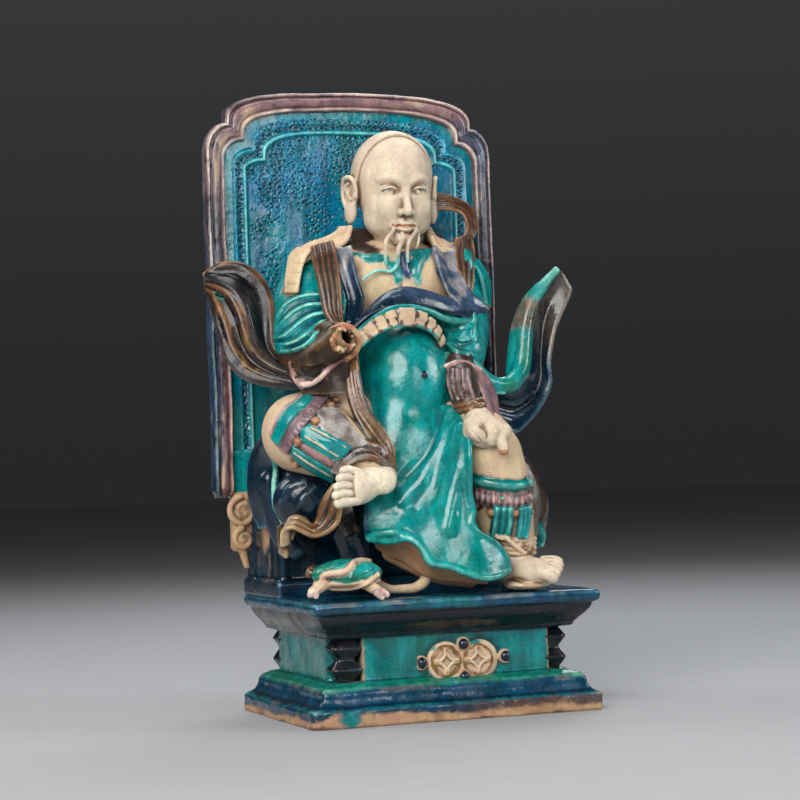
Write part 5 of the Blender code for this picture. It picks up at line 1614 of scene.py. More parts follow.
    # cloth that hangs from the cuff down to the thigh
    F.add(Sheet([cv((297, 379, -36), (304, 389, -38), (318, 396, -42), (334, 400, -46), (348, 402, -48)), cv((322, 378, -48), (330, 372, -53), (338, 364, -57), (346, 357, -59)),], patchy("grey", "brown", 15, 0.0, 7), 2.6, k=1.5, bias=0.2))
    F.add(tb("brown", (306, 378, -30, 9), (326, 380, -42, 9), (342, 374, -50, 8), k=3))
    skin(F, SATIN)


def left_scarf():
    """Long sleeve end that curls up at the viewer's left."""
    def prof(t, s_):
        f = np.zeros_like(s_)
        wob = 0.03 * np.sin(5 * t)
        for c, w, a in ((0.0, .06, 2.0), (0.46, .05, 1.6), (0.57, .045, 2.0), (0.84, .04, 1.5), (0.95, .08, 1.2)):
            f += a * np.exp(-((s_ - c - wob) / w) ** 2)
        f -= 3.0 * np.exp(-((s_ - 0.22) / .13) ** 2) + 1.0 * np.exp(-((s_ - 0.71) / .08) ** 2)
        return f * smooth(0.0, 0.12, t) * (0.55 + 0.45 * smooth(1.0, 0.75, t))

    def col(P, u, w, rel, n1, n2):
        keys = [(0.0, "amber"), (0.05, "brown"), (0.13, "ink"), (0.40, "ink"), (0.46, "smoke"), (0.51, "ink"), (0.56, "gold"), (0.62, "brown"), (0.70, "ink"), (0.80, "brown"), (0.845, "gold"), (0.89, "ink"), (1.0, "smoke")]
        v = np.clip(w + 0.05 * noise(P, 9, 90) + 0.02 * n2, 0, 1)
        c, g = np.zeros((len(P), 3)), np.ones(len(P))
        for (a, na), (b, nb) in zip(keys[:-1], keys[1:]):
            m = (v >= a) & (v <= b)
            if m.any():
                k = ((v[m] - a) / (b - a))[:, None]
                ca, _ = tone(na, rel[m], n1[m], n2[m])
                cb, _ = tone(nb, rel[m], n1[m], n2[m])
                c[m] = ca * (1 - k) + cb * k
        dk, _ = tone("smoke", rel, n1, n2)
        k = (smooth(0.5, 0.75, u + 0.1 * n1) * 0.75)[:, None]
        c = c * (1 - k) + dk * k
        nv, _ = tone("navy", rel, n1, n2)
        k = (smooth(0.82, 0.95, u) * 0.6)[:, None]
        return c * (1 - k) + nv * k, g
    c0 = cv((207, 291, 24), (211, 300, 19), (216, 318, 12), (222, 339, 6), (228.6, 359, 0), (240.8, 374.5, -5), (256, 381.6, -10), (271.4, 384.7, -15), (291.8, 386.7, -24), (308, 388, -30))
    c1 = cv((206.5, 285, 22), (222, 292, 12), (232, 312, 4), (237, 336, 0), (245, 356, -4), (258, 369, -9), (274, 376, -15), (292, 380, -24), (306, 382, -30))
    c2 = cv((206, 280, 21), (227, 281, 10), (243, 299, 2), (249, 326, -2), (254, 346, -5), (264, 360, -9), (278, 368, -15), (294, 373, -24), (305, 376, -30))
    c3 = cv((205.6, 274.5, 24), (214, 269, 22), (226, 265.6, 19), (240, 265.8, 16), (254, 273.6, 12), (264, 285.6, 9), (270, 303, 5), (270.6, 324, 1), (271, 342, -3), (277, 353, -8), (288, 361, -16), (302, 368, -28))
    F = Model("left_scarf", 0.8, [Sheet([c3, c2, c1, c0], col, 2.3, prof, k=1.2)], grow=8)
    F.add(Tube([[*p, 2.1] for p in np.array(c3)[:, :3]], patchy("amber", "brown", 10, 0.1, 3), k=1.2, bias=0.2))
    F.add(Tube([[*p, 1.8] for p in np.array(c0)[:-1, :3]], patchy("cream", "teal_light", 14, 0.0, 3), k=1.2, bias=0.4))
    # second layer, tucked behind the first
    F.add(Sheet([cv((208, 288, 26), (216, 285, 20), (226, 284.6, 15), (235, 289, 10), (241.5, 297, 5), (244, 308, 2)),
                 cv((209, 292, 26), (216, 294, 20), (224, 297, 14), (231, 302, 8), (236, 311, 4), (238, 322, 1))], patchy("smoke", "slate", 12, 0.1, 4), 2.1, k=1.0, bias=0.9))
    F.add(Tube(V([(211, 291.5, 19, 0.8), (220, 296.5, 12, 0.9), (229.6, 299, 7, 0.9), (235, 307, 3, 0.7)]), "teal", k=0.8, cut=True))
    skin(F, SATIN)


# --------------------------------------------------------------- viewer's right arm
def resting_arm():
    base = [tb("teal", (460, 300, 14, 21), (463, 330, -2, 21), (462, 352, -20, 19), k=5),
            tb("brown", (457, 366, -32, 14), (462, 386, -52, 12.5), (467, 402, -64, 11), k=3),
            tb("skin", (469, 406, -66, 10), (474, 414, -72, 10.5), k=3),
            lump("skin", 480, 426, -79, 13, 11.5, 13, k=4)]
    F = Model("resting_arm", 0.62, base, grow=12, reach=((500, 420, -60), (500, 366, -44)))
    for q, (x0, x1) in enumerate(((446, 453), (450, 458), (455, 463.5), (460.5, 469), (466, 474))):
        F.add(Tube(F.on([(x0 + 2, 370, 1.4), (x0 + 3, 384, 1.7), (x1, 399, 1.3)], -0.2), patchy("brown", "plum", 8, 0.1, q), k=1.4))
    for y0, y1 in ((404.5, 399.5), (409.5, 404.5)):
        F.add(Tube(F.on([(454.5, y0 + 2, 1.7), (463, y0 + 1, 2.0), (473, y0 - 1.6, 2.1), (483, y1, 1.8)], 0.2), "amber", k=1.0, bias=0.8))
    # folds of the upper sleeve
    for f in (((446, 318, 1.6), (456, 326, 2.2), (468, 326, 2.2), (477, 318, 1.4)), ((446, 330, 1.6), (455, 340, 2.2), (466, 342, 2.2), (477, 336, 1.4)),
              ((448, 344, 1.6), (457, 352, 2.0), (468, 354, 1.8)), ((470, 300, 1.4), (474, 318, 1.8), (475, 340, 1.6))):
        F.add(Tube(F.on(f, -0.2), "teal", k=2.4))
    F.add(Tube(F.on([(450, 336, 1.6), (460, 344, 2.0), (472, 342, 1.4)], 0), "teal", k=2, cut=True))
    # pinkish lining behind the wrist
    F.add(Sheet([cv((458, 367, -46), (470, 366, -46), (480, 371, -46), (489, 383, -46), (495, 398, -48), (497, 414, -52)), cv((462, 374, -52), (472, 378, -54), (479, 386, -58), (484, 396, -62), (488, 408, -66), (492, 418, -70))],
                patchy("pink", "plum", 10, 0.0, 9), 2.2, lambda t, s_: -1.2 * np.sin(np.pi * s_), k=1.2, bias=0.4))
    F.add(Tube(V([(446, 366, -46, 1.8), (456, 362.5, -48, 2.0), (468, 364, -48, 2.0), (480, 370, -48, 1.8)]), "pink", k=1.0, bias=0.5))
    # hand: curled fingers, extended index with its broken tip
    F.add(lump("skin", 478.5, 431, -85, 12.5, 7.5, 11.5, k=4), lump("skin", 484, 437, -88, 8, 7, 7, k=3))
    F.add(tb("skin", (474, 414, -80, 5), (486, 420, -88, 5.2), (496, 426, -92, 5.2), (502, 431, -93, 5.0), k=2.4),
          tb("skin", (470, 424, -86, 5.0), (476, 434, -92, 5.2), (485, 438, -92, 5.0), k=2.0),
          tb("skin", (472, 430, -86, 4.4), (480, 441, -88, 4.6), (489, 443, -86, 4.0), k=1.6),
          tb("skin", (488, 424, -90, 4.8), (493, 433, -95, 5.0), (491, 441, -93, 4.4), k=1.4),
          lump("skin", 504, 431.5, -92, 6.2, 6, 6.4, k=2.5),
          tb("skin", (499, 436, -94, 4.4), (502, 444, -96, 4.2), (503.6, 450, -97, 3.9), k=1.6),
          Ball(at(504.0, 452.2, -97.4), (3.7, 3.4, 1.9), "rust", k=0.5, bias=0.9))
    F.add(Tube(F.on([(480, 427, 0.6), (486, 432, 0.7), (487, 440, 0.6)], 0.3), "skin", k=0.9, cut=True),
          Tube(F.on([(471, 430, 0.5), (477, 436, 0.7), (483, 444, 0.5)], 0.2), "skin", k=0.9, cut=True),
          Tube(F.on([(493, 428, 0.5), (495, 436, 0.6), (495, 443, 0.5)], 0.2), "skin", k=0.9, cut=True))
    skin(F, GLOSSY, jitter=0.5)


def right_sleeve():
    def inner(P, u, w, rel, n1, n2):
        hi = smooth(0.62, 0.74, u + 0.04 * n1)
        a, _ = tone("navy", rel, n1, n2)
        b, _ = tone("smoke", rel + 0.15, n1, n2)
        pe, _ = tone("grey", rel, n1, n2)
        q = (smooth(-0.1, 0.4, n1) * 0.6)[:, None]
        b = b * (1 - q) + pe * q
        c = a * (1 - hi[:, None]) + b * hi[:, None]
        return c, np.ones(len(P))
    a = cv((452, 366, -40), (466, 371, -38), (480, 379, -37), (491, 389, -36), (504, 392, -34), (517, 386, -31), (526, 371, -28), (529, 348, -25), (529, 322, -22), (536, 297, -19), (556, 270, -17))
    b = cv((458, 376, -32), (470, 388, -28), (484, 400, -25), (500, 407, -22), (515, 408, -19), (529, 399, -16), (537, 378, -13), (539, 350, -10), (542, 322, -8), (550, 297, -10), (562, 276, -15))
    c = cv((466, 384, -34), (480, 402, -32), (494, 420, -30), (512, 431, -27), (527, 421, -25), (541, 403, -22), (549.5, 384, -20), (548.6, 360, -19), (555, 326, -17), (568, 295, -16), (569, 288, -16))
    F = Model("right_sleeve", 0.82, [Sheet([a, b, c], inner, 2.2, None, k=1.4)], grow=9)

    def outer(P, u, w, rel, n1, n2):
        t, g = tone("teal", rel, n1, n2)
        gr, _ = tone("green", rel, n1, n2)
        k = smooth(0.1, 0.5, n1 + 0.2 * n2)[:, None]
        t = t * (1 - k) + gr * k
        py = seen(P)[1]
        k = (smooth(332, 322, py + 6 * n1) * smooth(294, 304, py + 6 * n1) * 0.75)[:, None]
        m, gm = tone("amber", rel + 0.25 * n2, n1, n2)
        r, gr2 = tone("rust", rel, n1, n2)
        q = smooth(0.0, 0.3, noise(P * [1, 1, .5], 5, 93))[:, None]
        m = m * (1 - q) + r * q
        return t * (1 - k) + m * k, g * np.ones(len(P))
    F.add(tb(outer, (445, 360, -32, 7), (458, 359, -34, 7), (470, 365, -34, 7), (483, 378, -34, 6.6), (497, 385.5, -32, 6.6), (510, 383, -30, 6.8), (520, 370, -27, 7), (523, 350, -24, 6.6),
             (525, 328, -21, 6.2), (531, 305, -19, 5.6), (542, 287, -18, 4.6), (555.5, 270.5, -17, 2.6), k=1.8, bias=0.6),
          tb(outer, (513, 372, -20, 6), (515.5, 350, -17, 6.4), (519, 325, -15, 6.0), (527, 303, -15, 5), (538, 288, -15.5, 3.6), k=3))
    F.add(Tube([[*p[:3], 1.7] for p in np.array(c)[2:]], patchy("smoke", "cream", 9, -0.12, 6), k=1.2, bias=0.2))
    F.add(Tube([[*p[:3], 1.5] for p in np.array(a)[6:]], "cream", k=0.8, bias=0.2))
    for f in (((452, 362, 1.4), (466, 364, 1.6), (480, 375, 1.6), (494, 382, 1.2)), ((448, 369, 1.2), (462, 371.5, 1.5), (476, 381, 1.5), (490, 391, 1.3), (504, 393, 1.0))):
        F.add(Tube(F.on(f, -0.2), "teal", k=1.5))
    for f in (((500, 402, 1.2), (516, 404, 1.4), (532, 392, 1.2)), ((498, 412, 1.2), (514, 416, 1.4), (530, 407, 1.2))):
        F.add(Tube(F.on(f, -0.4), "navy", k=2.4))
    skin(F, GLOSSY)


# --------------------------------------------------------------- legs
def raised_leg():
    base = [tb("cream", (372, 428, 0, 32), (330, 428, -14, 32), (299, 430, -22, 28), k=4),
            tb("cream", (299, 436, -28, 27.5), (326, 442, -46, 27), (350, 453, -60, 19), (366, 460, -64, 15.5), k=4)]
    F = Model("raised_leg", 0.78, base, grow=10, reach=((240, 404, 36), (244, 520, 36), (282, 530, -10), (345, 338, -48), (396, 470, -74)))
    # lining under the knee
    edge = [(266, 404, -8), (264, 424, -14), (268.5, 445, -15), (275.5, 466, -14), (274, 486, -12), (275.5, 506, -10), (282.5, 521, -10)]
    F.add(Sheet([cv((264, 436, 6), (255, 449, 22), (250, 464, 30), (249, 480, 32), (250, 496, 32), (254, 512, 30), (260, 527, 24)), cv(*[(x + 1.5, y, d) for x, y, d in [(267.5, 432, -14)] + edge[2:]])], patchy("navy", "blue", 26, -0.1, 5), lambda t, s_: 1.8 + 0.6 * s_,
                lambda t, s_: 2.2 * np.sin(5 * t + 2.5 * s_) * s_ * (1 - s_) * 2, k=2.0),
          Tube(V([(x, y, d, 2.0) for x, y, d in [(267.5, 432, -14)] + edge[2:]]), "teal_light", k=1.8, bias=0.2))
    # garter: teal band, pink band, studs
    def strip(pa, pb, col, lift=0.6, w=1.3, bulge=0.5, **kw):
        F.add(Sheet([[r[:3] for r in F.on([(*p, 1) for p in pa], lift)], [r[:3] for r in F.on([(*p, 1) for p in pb], lift)]], col, w, lambda t, s_: bulge * np.sin(np.pi * s_), k=0.6, pitch=0.8, **kw))
    strip(((309, 385), (299, 398), (289, 405), (280, 415), (271, 436)), ((320, 388), (309, 405), (298, 415), (290, 426), (280, 446)), patchy("pearl", "pink", 9, -0.1, 4), 0.2, 1.2, bias=0.3)
    strip(((311.5, 386), (301.5, 399.5), (291, 407), (281.5, 417.5), (272.5, 438)), ((317.5, 390), (307.5, 404), (296, 413), (287.5, 424), (278, 443.5)), calm("teal", 0.7, 0.1), 1.0, 1.4, bias=1.0)
    strip(((320, 391), (309.5, 406.5), (299, 417), (291, 427.5), (281, 447)), ((327, 396), (315, 413), (305, 424), (297, 435), (288, 451.5)), patchy("pink", "plum", 7, 0.1, 5), 0.6, 1.8, 0.8, bias=0.9)
    for k_ in range(11):
        x, y = 321.5 - 3.55 * k_, 395 + 5.1 * k_
        F.add(Tube(F.on([(x - 1.6, y - 1.4, 0.5), (x + 3.0, y + 2.2, 0.5)], 0.1), "plum", k=0.5, cut=True))
    # flaps that hang from the band, two and two
    def flap(pts, col, lift=1.2, w=1.5):
        a, b = pts
        F.add(Sheet([[r[:3] for r in F.on([(*p, 1) for p in a], lift)], [r[:3] for r in F.on([(*p, 1) for p in b], lift)]], col, w, lambda t, s_: 0.8 * np.sin(np.pi * s_), k=0.6, bias=1.0, pitch=0.8))
    flap((((320, 411), (328, 409), (338, 411), (352, 429), (366, 443)), ((318, 421), (324, 430), (336, 441), (348, 447), (356, 452))), patchy("pearl", "grey", 12, -0.15, 2))
    flap((((310, 425.5), (322, 432), (336, 440), (349.5, 447.5)), ((302, 432), (304, 440), (320, 450), (340, 461))), calm("teal", 0.3))
    flap((((304, 444), (318, 452), (338, 463)), ((302, 448.5), (316, 458), (334, 468))), "pink", 0.4, 1.0)
    flap((((294, 448), (308, 458), (334, 472)), ((293, 455), (306, 468), (332, 482))), calm("teal", 0.3))
    for f in (((311, 427.5, 0.7), (326, 435.5, 0.8), (346, 447, 0.7)), ((305, 436.5, 0.7), (320, 445.5, 0.8), (338, 456.5, 0.7)), ((294, 453, 0.7), (308, 463, 0.8), (330, 476, 0.7)), ((301, 441, .6), (318, 451.5, .7), (337, 462, .6))):
        F.add(Tube(F.on(f, 0.35), "cream", k=0.5, bias=0.5))
    F.dots([(336, 400, 3.4), (330.6, 406.8, 3.3), (315.8, 421.8, 4.0), (298.6, 442.2, 4.0), (296, 463.6, 3.7)], "amber", 1.2)
    for px, py in ((336, 400), (315.8, 421.8), (298.6, 442.2)):
        F.add(Tube(F.on([(px - 3.6, py + 3, 0.7), (px, py + 5.4, 0.8), (px + 4, py + 4, 0.7)], 0.2), "plum", k=0.6, bias=0.4))
    # ankle cloth
    F.add(Sheet([cv((334, 471, -72), (341, 456, -74), (352, 446.5, -76), (368, 443, -74), (383, 451, -70), (391, 462, -66)), cv((341, 474, -78), (348, 464, -80), (358, 458.5, -81), (370, 457.5, -80), (381, 461.5, -77), (389, 468, -72))],
                patchy("grey", "amber", 10, -0.1, 3), 2.2, lambda t, s_: 1.0 * np.sin(2 * np.pi * 2.4 * s_), k=1.4, bias=0.9))
    for f in (((339, 463, .7), (351, 451, .8), (366, 447, .8), (382, 454, .7)), ((342, 468, .7), (354, 456, .8), (368, 452.5, .8), (384, 459, .7))):
        F.add(Tube(F.on(f, 0), "smoke", k=0.8, cut=True))
    # sash that falls beside the belly
    def band(P, u, w, rel, n1, n2):
        a, g = tone("smoke", rel, n1, n2)
        b, _ = tone("gold", rel, n1, n2)
        k = (smooth(0.2, 0.75, np.sin(w * 19 + 1.2 * n1) + 0.4 * n2) * 0.8)[:, None]
        return a * (1 - k) + b * k, g
    F.add(Sheet([cv((345.5, 340, -48), (346.5, 358, -50), (347.5, 378, -54), (349.5, 396, -58), (355, 414, -62), (364.5, 432, -68), (376, 447, -73), (386, 458, -73)),
                 cv((354, 342, -50), (356, 360, -54), (358.5, 378, -60), (362, 397, -63), (370, 414, -66), (382, 430, -69), (391.5, 449, -71), (393, 468, -70))],
                band, 2.2, lambda t, s_: 1.1 * np.sin(2 * np.pi * 3 * s_), k=1.0, bias=0.8),
          Tube(V([(356.5, 362, -58, 0.9), (359.5, 379, -62, 1.0), (363.5, 398, -65, 1.0), (371.5, 414, -68, 1.0), (383.5, 430, -71, 1.1), (393, 449, -73, 1.2), (394, 469, -72, 1.1)]), "gold", k=1.0))
    skin(F, GLOSSY, jitter=0.45)


def bare_foot():
    """Sole of the raised foot with its five toes."""
    y = -72
    base = [tb("sole", (383, 479, y, 10.2), (371, 481, y - 1, 11.8), (361.5, 485, y - 1, 13.6), (358, 487, y - 1, 13.4), k=3)]
    F = Model("raised_foot", 0.5, base, grow=14)
    F.add(tb("sole", (386, 476, -68, 8), (378, 468, -64, 10), k=3))
    F.add(lump("sole", 357, 486, -83, 8, 3.6, 14, k=5), lump("sole", 384, 482, -79, 9, 5, 9, k=4))
    toes = [((359, 471.5, -79), (349, 469.5, -83), (343.5, 470.5, -84), 3.1), ((356, 478, -82), (345, 477, -85), (339.8, 478.5, -85), 3.15), ((354, 485.5, -83), (342.5, 485.3, -85.5), (337.2, 487, -85), 3.2),
            ((354, 493, -83), (341.5, 493.6, -85.5), (336, 495.4, -84.5), 3.3), ((357, 500.5, -82), (345, 502, -85), (339, 503.4, -84), 3.9)]
    for a, b, c, r in toes:
        F.add(tb("sole", (*a, r * 0.95), (*b, r), (*c, r * 1.04), k=0.7))
    for i in range(4):
        p, q = toes[i], toes[i + 1]
        row = []
        for k_, (dx, dd, rr) in enumerate(((-3, -3.4, 0.3), (0, -3.2, 0.5), (0, -1.8, 0.6))):
            row.append(((p[k_][0] + q[k_][0]) / 2 + dx, (p[k_][1] + q[k_][1]) / 2, (p[k_][2] + q[k_][2]) / 2 + dd + 0.4, rr))
        F.add(tb("sole", *row, k=0.8, cut=True))
    F.add(Tube(F.on([(355, 473, .4), (353.5, 484, .5), (354.5, 496, .4)], 0.2), "sole", k=2.5, cut=True))
    skin(F, GLOSSY, jitter=0.4)


def under_knee():
    """Dark cloth bulge under the raised knee and the tail of the sash."""
    F = Model("knee_drapery", 0.85, [lump("navy", 304, 500, -18, 24, 25, 24), lump("navy", 322, 512, -16, 22, 22, 22),
                                     tb("navy", (300, 470, -14, 14), (340, 478, -26, 14), (370, 500, -30, 14), k=5),
                                     tb("navy", (345, 505, -26, 16), (352, 540, -26, 14), (362, 578, -24, 12), k=5)], grow=14)
    for f in (((282, 500, 2.0), (290, 488, 2.4), (304, 482, 2.4)), ((296, 516, 1.6), (302, 500, 2.2), (314, 488, 2.0)), ((318, 520, 1.6), (322, 504, 2.0), (330, 492, 1.8))):
        F.add(Tube(F.on(f, -0.6), "navy", k=4))

    def tail(P, u, w, rel, n1, n2):
        a, g = tone("smoke", rel * 1.3 + .05, n1, n2)
        b, _ = tone("gold", rel * 1.3 + .15, n1, n2)
        k = (smooth(0.0, 0.7, np.sin(w * 15 + 2 * n1)) * 0.8)[:, None]
        c = a * (1 - k) + b * k
        cr, gc = tone("cream", rel, n1, n2)
        q = smooth(0.7, 0.9, u)[:, None] * 0.45
        return c * (1 - q) + cr * q, g * (1 - q[:, 0]) + gc * q[:, 0]
    F.add(Sheet([cv((334, 486, -56), (326, 498, -52), (320.5, 510, -48), (317.5, 522, -46), (311, 526, -46), (303, 519, -44), (295.5, 517.5, -42), (290.5, 523, -40), (293, 533, -38)),
                 cv((346, 496, -60), (340, 510, -56), (337, 522, -54), (327, 532, -52), (313, 536, -50), (301, 531, -48), (292, 528, -46), (285, 533, -44), (284, 545, -42)),],
                tail, 2.3, lambda t, s_: 1.3 * np.sin(2 * np.pi * 2.2 * s_), k=1.2, bias=0.8),
          Sheet([cv((290, 523, -38), (282, 526, -34), (279, 533, -32), (281, 552, -30)), cv((294, 532, -42), (288, 537, -40), (285.5, 545, -38), (286, 556, -36))], tail, 2.1, k=1.2, bias=0.6),
          Sheet([cv((337, 510, -52), (340, 521, -46), (346, 534, -42)), cv((349, 506, -50), (353, 518, -44), (356, 530, -40))], patchy("grey", "smoke", 9, 0.0, 3), 2.1, k=1.2, bias=0.6))
    F.add(tb("navy", (270, 480, 4, 9), (274, 510, 4, 9), (282, 536, 0, 8), (296, 552, -8, 6), k=4))
    skin(F, GLOSSY)


def standing_leg():
    base = [tb("cream", (455, 436, -34, 30), (478, 442, -52, 26.5), (488, 452, -64, 24), k=5),
            tb("cream", (491, 459, -64, 24.5), (497.5, 480, -65, 24), (505, 505, -66, 21), (512, 528, -67, 17), (517, 548, -67, 14), k=4),
            tb("cream", (493, 496, -60, 18), (494.5, 518, -60, 17), (502, 540, -62, 12), k=5)]
    F = Model("standing_leg", 0.78, base, grow=10, reach=((548, 500, -36), (546, 545, -44), (520, 462, -26)))
    core = base[1].rows[:, :3]
    # garter and its fringe
    F.add(Tube(F.on([(466, 478, 3.4), (478, 480.6, 4.0), (491, 483.6, 4.2), (505, 485.6, 4.2), (517, 485.6, 4.0), (526, 483.6, 3.4)], -1.4), "teal", k=0.8, bias=1.0),
          Tube(F.on([(468, 491, 3.6), (479, 494.6, 4.2), (491, 498, 4.4), (505, 500, 4.4), (518, 500, 4.2), (528, 497.4, 3.4)], -2.2), patchy("pink", "plum", 7, 0.05, 3), k=0.9, bias=1.0))
    for y0, y1, rad, lift, name, bias in ((478, 483, 3.6, -2.0, "teal", 0.6), (491, 497, 3.8, -2.8, patchy("pink", "plum", 7, 0.05, 3), 1.0)):
        a, b = F.on([(466.5, y0, rad)])[0], F.on([(530.5, y1, rad)])[0]
        c = core[int(np.argmin(np.abs(core[:, 2] - (a[2] + b[2]) / 2)))]
        F.add(Tube(F.behind(c, a, b, lift), name, k=0.8, bias=bias))
    for k_ in range(11):
        x = 471 + 5.6 * k_
        y = 489.5 + 6.8 * math.sin(k_ / 10 * 1.9)
        F.add(Tube(F.on([(x, y - 0.6, 1.2), (x + 0.6, y + 6, 1.6), (x + 1.6 * math.sin(k_ * 2.1), y + 13, 1.3)], -0.3), patchy("pink", "plum", 5, 0.0, k_), k=0.6, bias=0.4))
    F.dots([(476.3, 505.4, 3.0), (491.5, 512.4, 3.6), (514.6, 513, 3.6), (530, 511.4, 3.2)], "amber", 1.4)
    F.dots([(502.5, 498.5, 1.6)], "green", 1.4)

    def flap(a, b, col, lift=1.2, w=1.5):
        F.add(Sheet([[r[:3] for r in F.on([(*p, 1) for p in a], lift)], [r[:3] for r in F.on([(*p, 1) for p in b], lift)]], col, w, lambda t, s_: 1.1 * np.sin(2 * np.pi * 2.5 * s_), k=0.6, bias=1.0, pitch=0.7))
    flap([(496, 508), (494.5, 524), (492, 537)], [(512, 509), (511, 524), (508, 538)], calm("teal", 1.3))
    flap([(520, 509), (519.5, 522), (518, 537)], [(530, 507), (529, 522), (526, 537)], calm("teal", 1.3))
    for y, r in ((538.5, 2.0), (543, 1.8), (547.6, 1.9), (552, 1.9)):
        F.add(Tube(F.on([(497.5, y - 1.5, r), (508, y + 0.8, r), (520, y + 1.6, r), (534.5, y + 0.2, r)], 0.4), patchy("cream", "amber", 7, -0.1, y), k=0.8, bias=0.8))
    F.add(Tube(F.on([(506, 538, 1.6), (515, 546, 1.8), (525, 553, 1.6)], 0.8), "cream", k=0.8, bias=0.8))
    # cloth behind the leg
    F.add(Sheet([cv((517, 468, -48), (527, 480, -50), (532, 500, -52), (533, 520, -52), (530, 540, -52)), cv((520, 462, -30), (536, 478, -34), (545, 500, -38), (543, 520, -40), (538, 543, -42))], patchy("brown", "grey", 10, 0.0, 4), 3.0,
                lambda t, s_: 1.2 * np.sin(2 * np.pi * 1.6 * s_), k=2.0),
          tb("brown", (518, 470, -40, 12), (530, 490, -40, 11), (534, 515, -38, 10), (530, 540, -40, 8), k=4),
          tb("teal", (534, 524, -50, 4), (540, 533, -48, 4.6), (540, 543, -46, 3.6), k=1.4, bias=0.5))
    F.paints.append(([(462, 452), (471, 450), (472, 470), (470, 490), (464, 486)], "navy", -130, 60))
    skin(F, GLOSSY)


def planted_foot():
    base = [tb("skin", (515, 552, -66, 12.0), (518, 566, -68, 12.5), k=3), tb("skin", (519, 569, -72, 11.5), (532, 571, -84, 10.8), (541, 572, -91, 9.4), k=4)]
    F = Model("planted_foot", 0.5, base, grow=16)
    F.add(lump("skin", 513, 577, -66, 11, 12, 7, k=3), lump("skin", 538, 573, -88, 12.5, 11, 7, k=4))
    toes = (((541, 574, -97), (549, 575.5, -101.5), (552.5, 578, -103), 4.5), ((543, 569.5, -95), (552, 570.6, -99.5), (556, 573.4, -101), 3.7), ((544, 566, -91.5), (554.5, 566.6, -95.5), (558.5, 569.2, -97), 3.4),
            ((544, 562.6, -87.5), (555.5, 562.8, -91), (559.8, 565.2, -92.4), 3.2), ((543, 559.6, -83), (554.5, 559.4, -86), (559.2, 561.4, -87.4), 3.0))
    for a, b, c, r in toes:
        F.add(tb("skin", (*a, r), (*b, r), (*c, r), k=0.7))
    for a, b in zip(toes[:-1], toes[1:]):
        m = [[(p + q) / 2 for p, q in zip(a[i], b[i])] for i in range(3)]
        F.add(tb("bare", (m[0][0] + 2, m[0][1] - 2.0, m[0][2], 0.4), (m[1][0], m[1][1] - 1.6, m[1][2] - 2.0, 0.6), (m[2][0] + 1.5, m[2][1], m[2][2] - 2.6, 0.6), k=0.8, cut=True))
    F.add(Ball(at(527, 584, -77), (18, 18, 4.2), "skin", k=3))
    F.add(Ball(at(508, 566, -58), (6, 6, 7), "skin", k=4))
    F.add(Tube(F.on([(512, 580, .5), (526, 584, .6), (542, 583.5, .5)], 0.1), "bare", k=1.2, cut=True))
    # pedestal of glaze under the heel
    F.add(Ball(at(518, 588, -72), (14, 13, 3.2), "navy", k=2, bias=0.3))
    skin(F, GLOSSY, jitter=0.4)


# --------------------------------------------------------------- robe between the legs
def skirt_solids():
    cols = [
        [(380, 440, -44), (374, 470, -50), (368, 500, -54), (366, 525, -58), (370, 540, -64)],
        [(396, 452, -47), (390, 478, -56), (385, 505, -60), (386, 528, -66), (391, 542, -74)],
        [(412, 458, -47), (407, 484, -60), (402, 508, -66), (403, 526, -73), (408, 539, -83)],
        [(424, 452, -46), (421, 484, -64), (418, 510, -71), (416, 530, -79), (420, 547, -88)],
        [(435, 432, -44), (433, 468, -66), (433, 500, -76), (429, 532, -85), (430, 563, -92)],
        [(443, 412, -46), (444, 455, -72), (446, 492, -81), (444, 532, -90), (449, 567, -96)],
        [(449, 408, -54), (457, 448, -79), (459, 488, -85), (461, 530, -92), (466, 573.5, -98)],
        [(457, 410, -62), (464, 448, -86), (465, 488, -88), (470, 530, -93), (484, 578.5, -98)],
        [(464, 418, -70), (468, 450, -90), (468, 490, -90), (476, 532, -93), (498, 577, -95)],
        [(468, 426, -76), (469.5, 450, -92), (470, 491, -91), (474, 511, -90), (471.5, 525, -90), (478, 533, -90), (491, 539.5, -89), (501, 549, -88), (508, 560, -88), (508.5, 571, -88)],
    ]

    def col(P, u, w, rel, n1, n2):
        a, g = tone("teal", rel * 0.8, n1, n2)
        b, _ = tone("green", rel * 0.7, n1, n2)
        k = (smooth(0.0, 0.5, n1) * 0.35)[:, None]
        c = a * (1 - k) + b * k
        d, _ = tone("belly", rel * 0.7, n1, n2)
        k = (smooth(0.45, 0.1, w) * 0.85)[:, None]
        c = c * (1 - k) + d * k
        e, _ = tone("blue", rel, n1, n2)
        k = (smooth(0.05, 0.0, w) * smooth(0.5, 0.75, u))[:, None]
        c = c * (1 - k) + e * k
        return c, g
    return [Sheet([cv(*c) for c in cols], col, 2.2, None, k=5.0, pitch=1.1),
            tb("belly", (398, 425, -26, 24), (392, 455, -34, 22), (384, 485, -36, 17), (386, 515, -42, 13), k=9),
            tb("belly", (414, 440, -34, 22), (406, 500, -46, 18), (412, 528, -56, 12), k=9),
            tb("teal", (430, 430, -36, 20), (430, 490, -54, 18), (440, 540, -70, 14), k=6),
            tb("teal", (450, 430, -46, 16), (451, 490, -66, 13), (462, 545, -78, 9), k=6)], col, cols


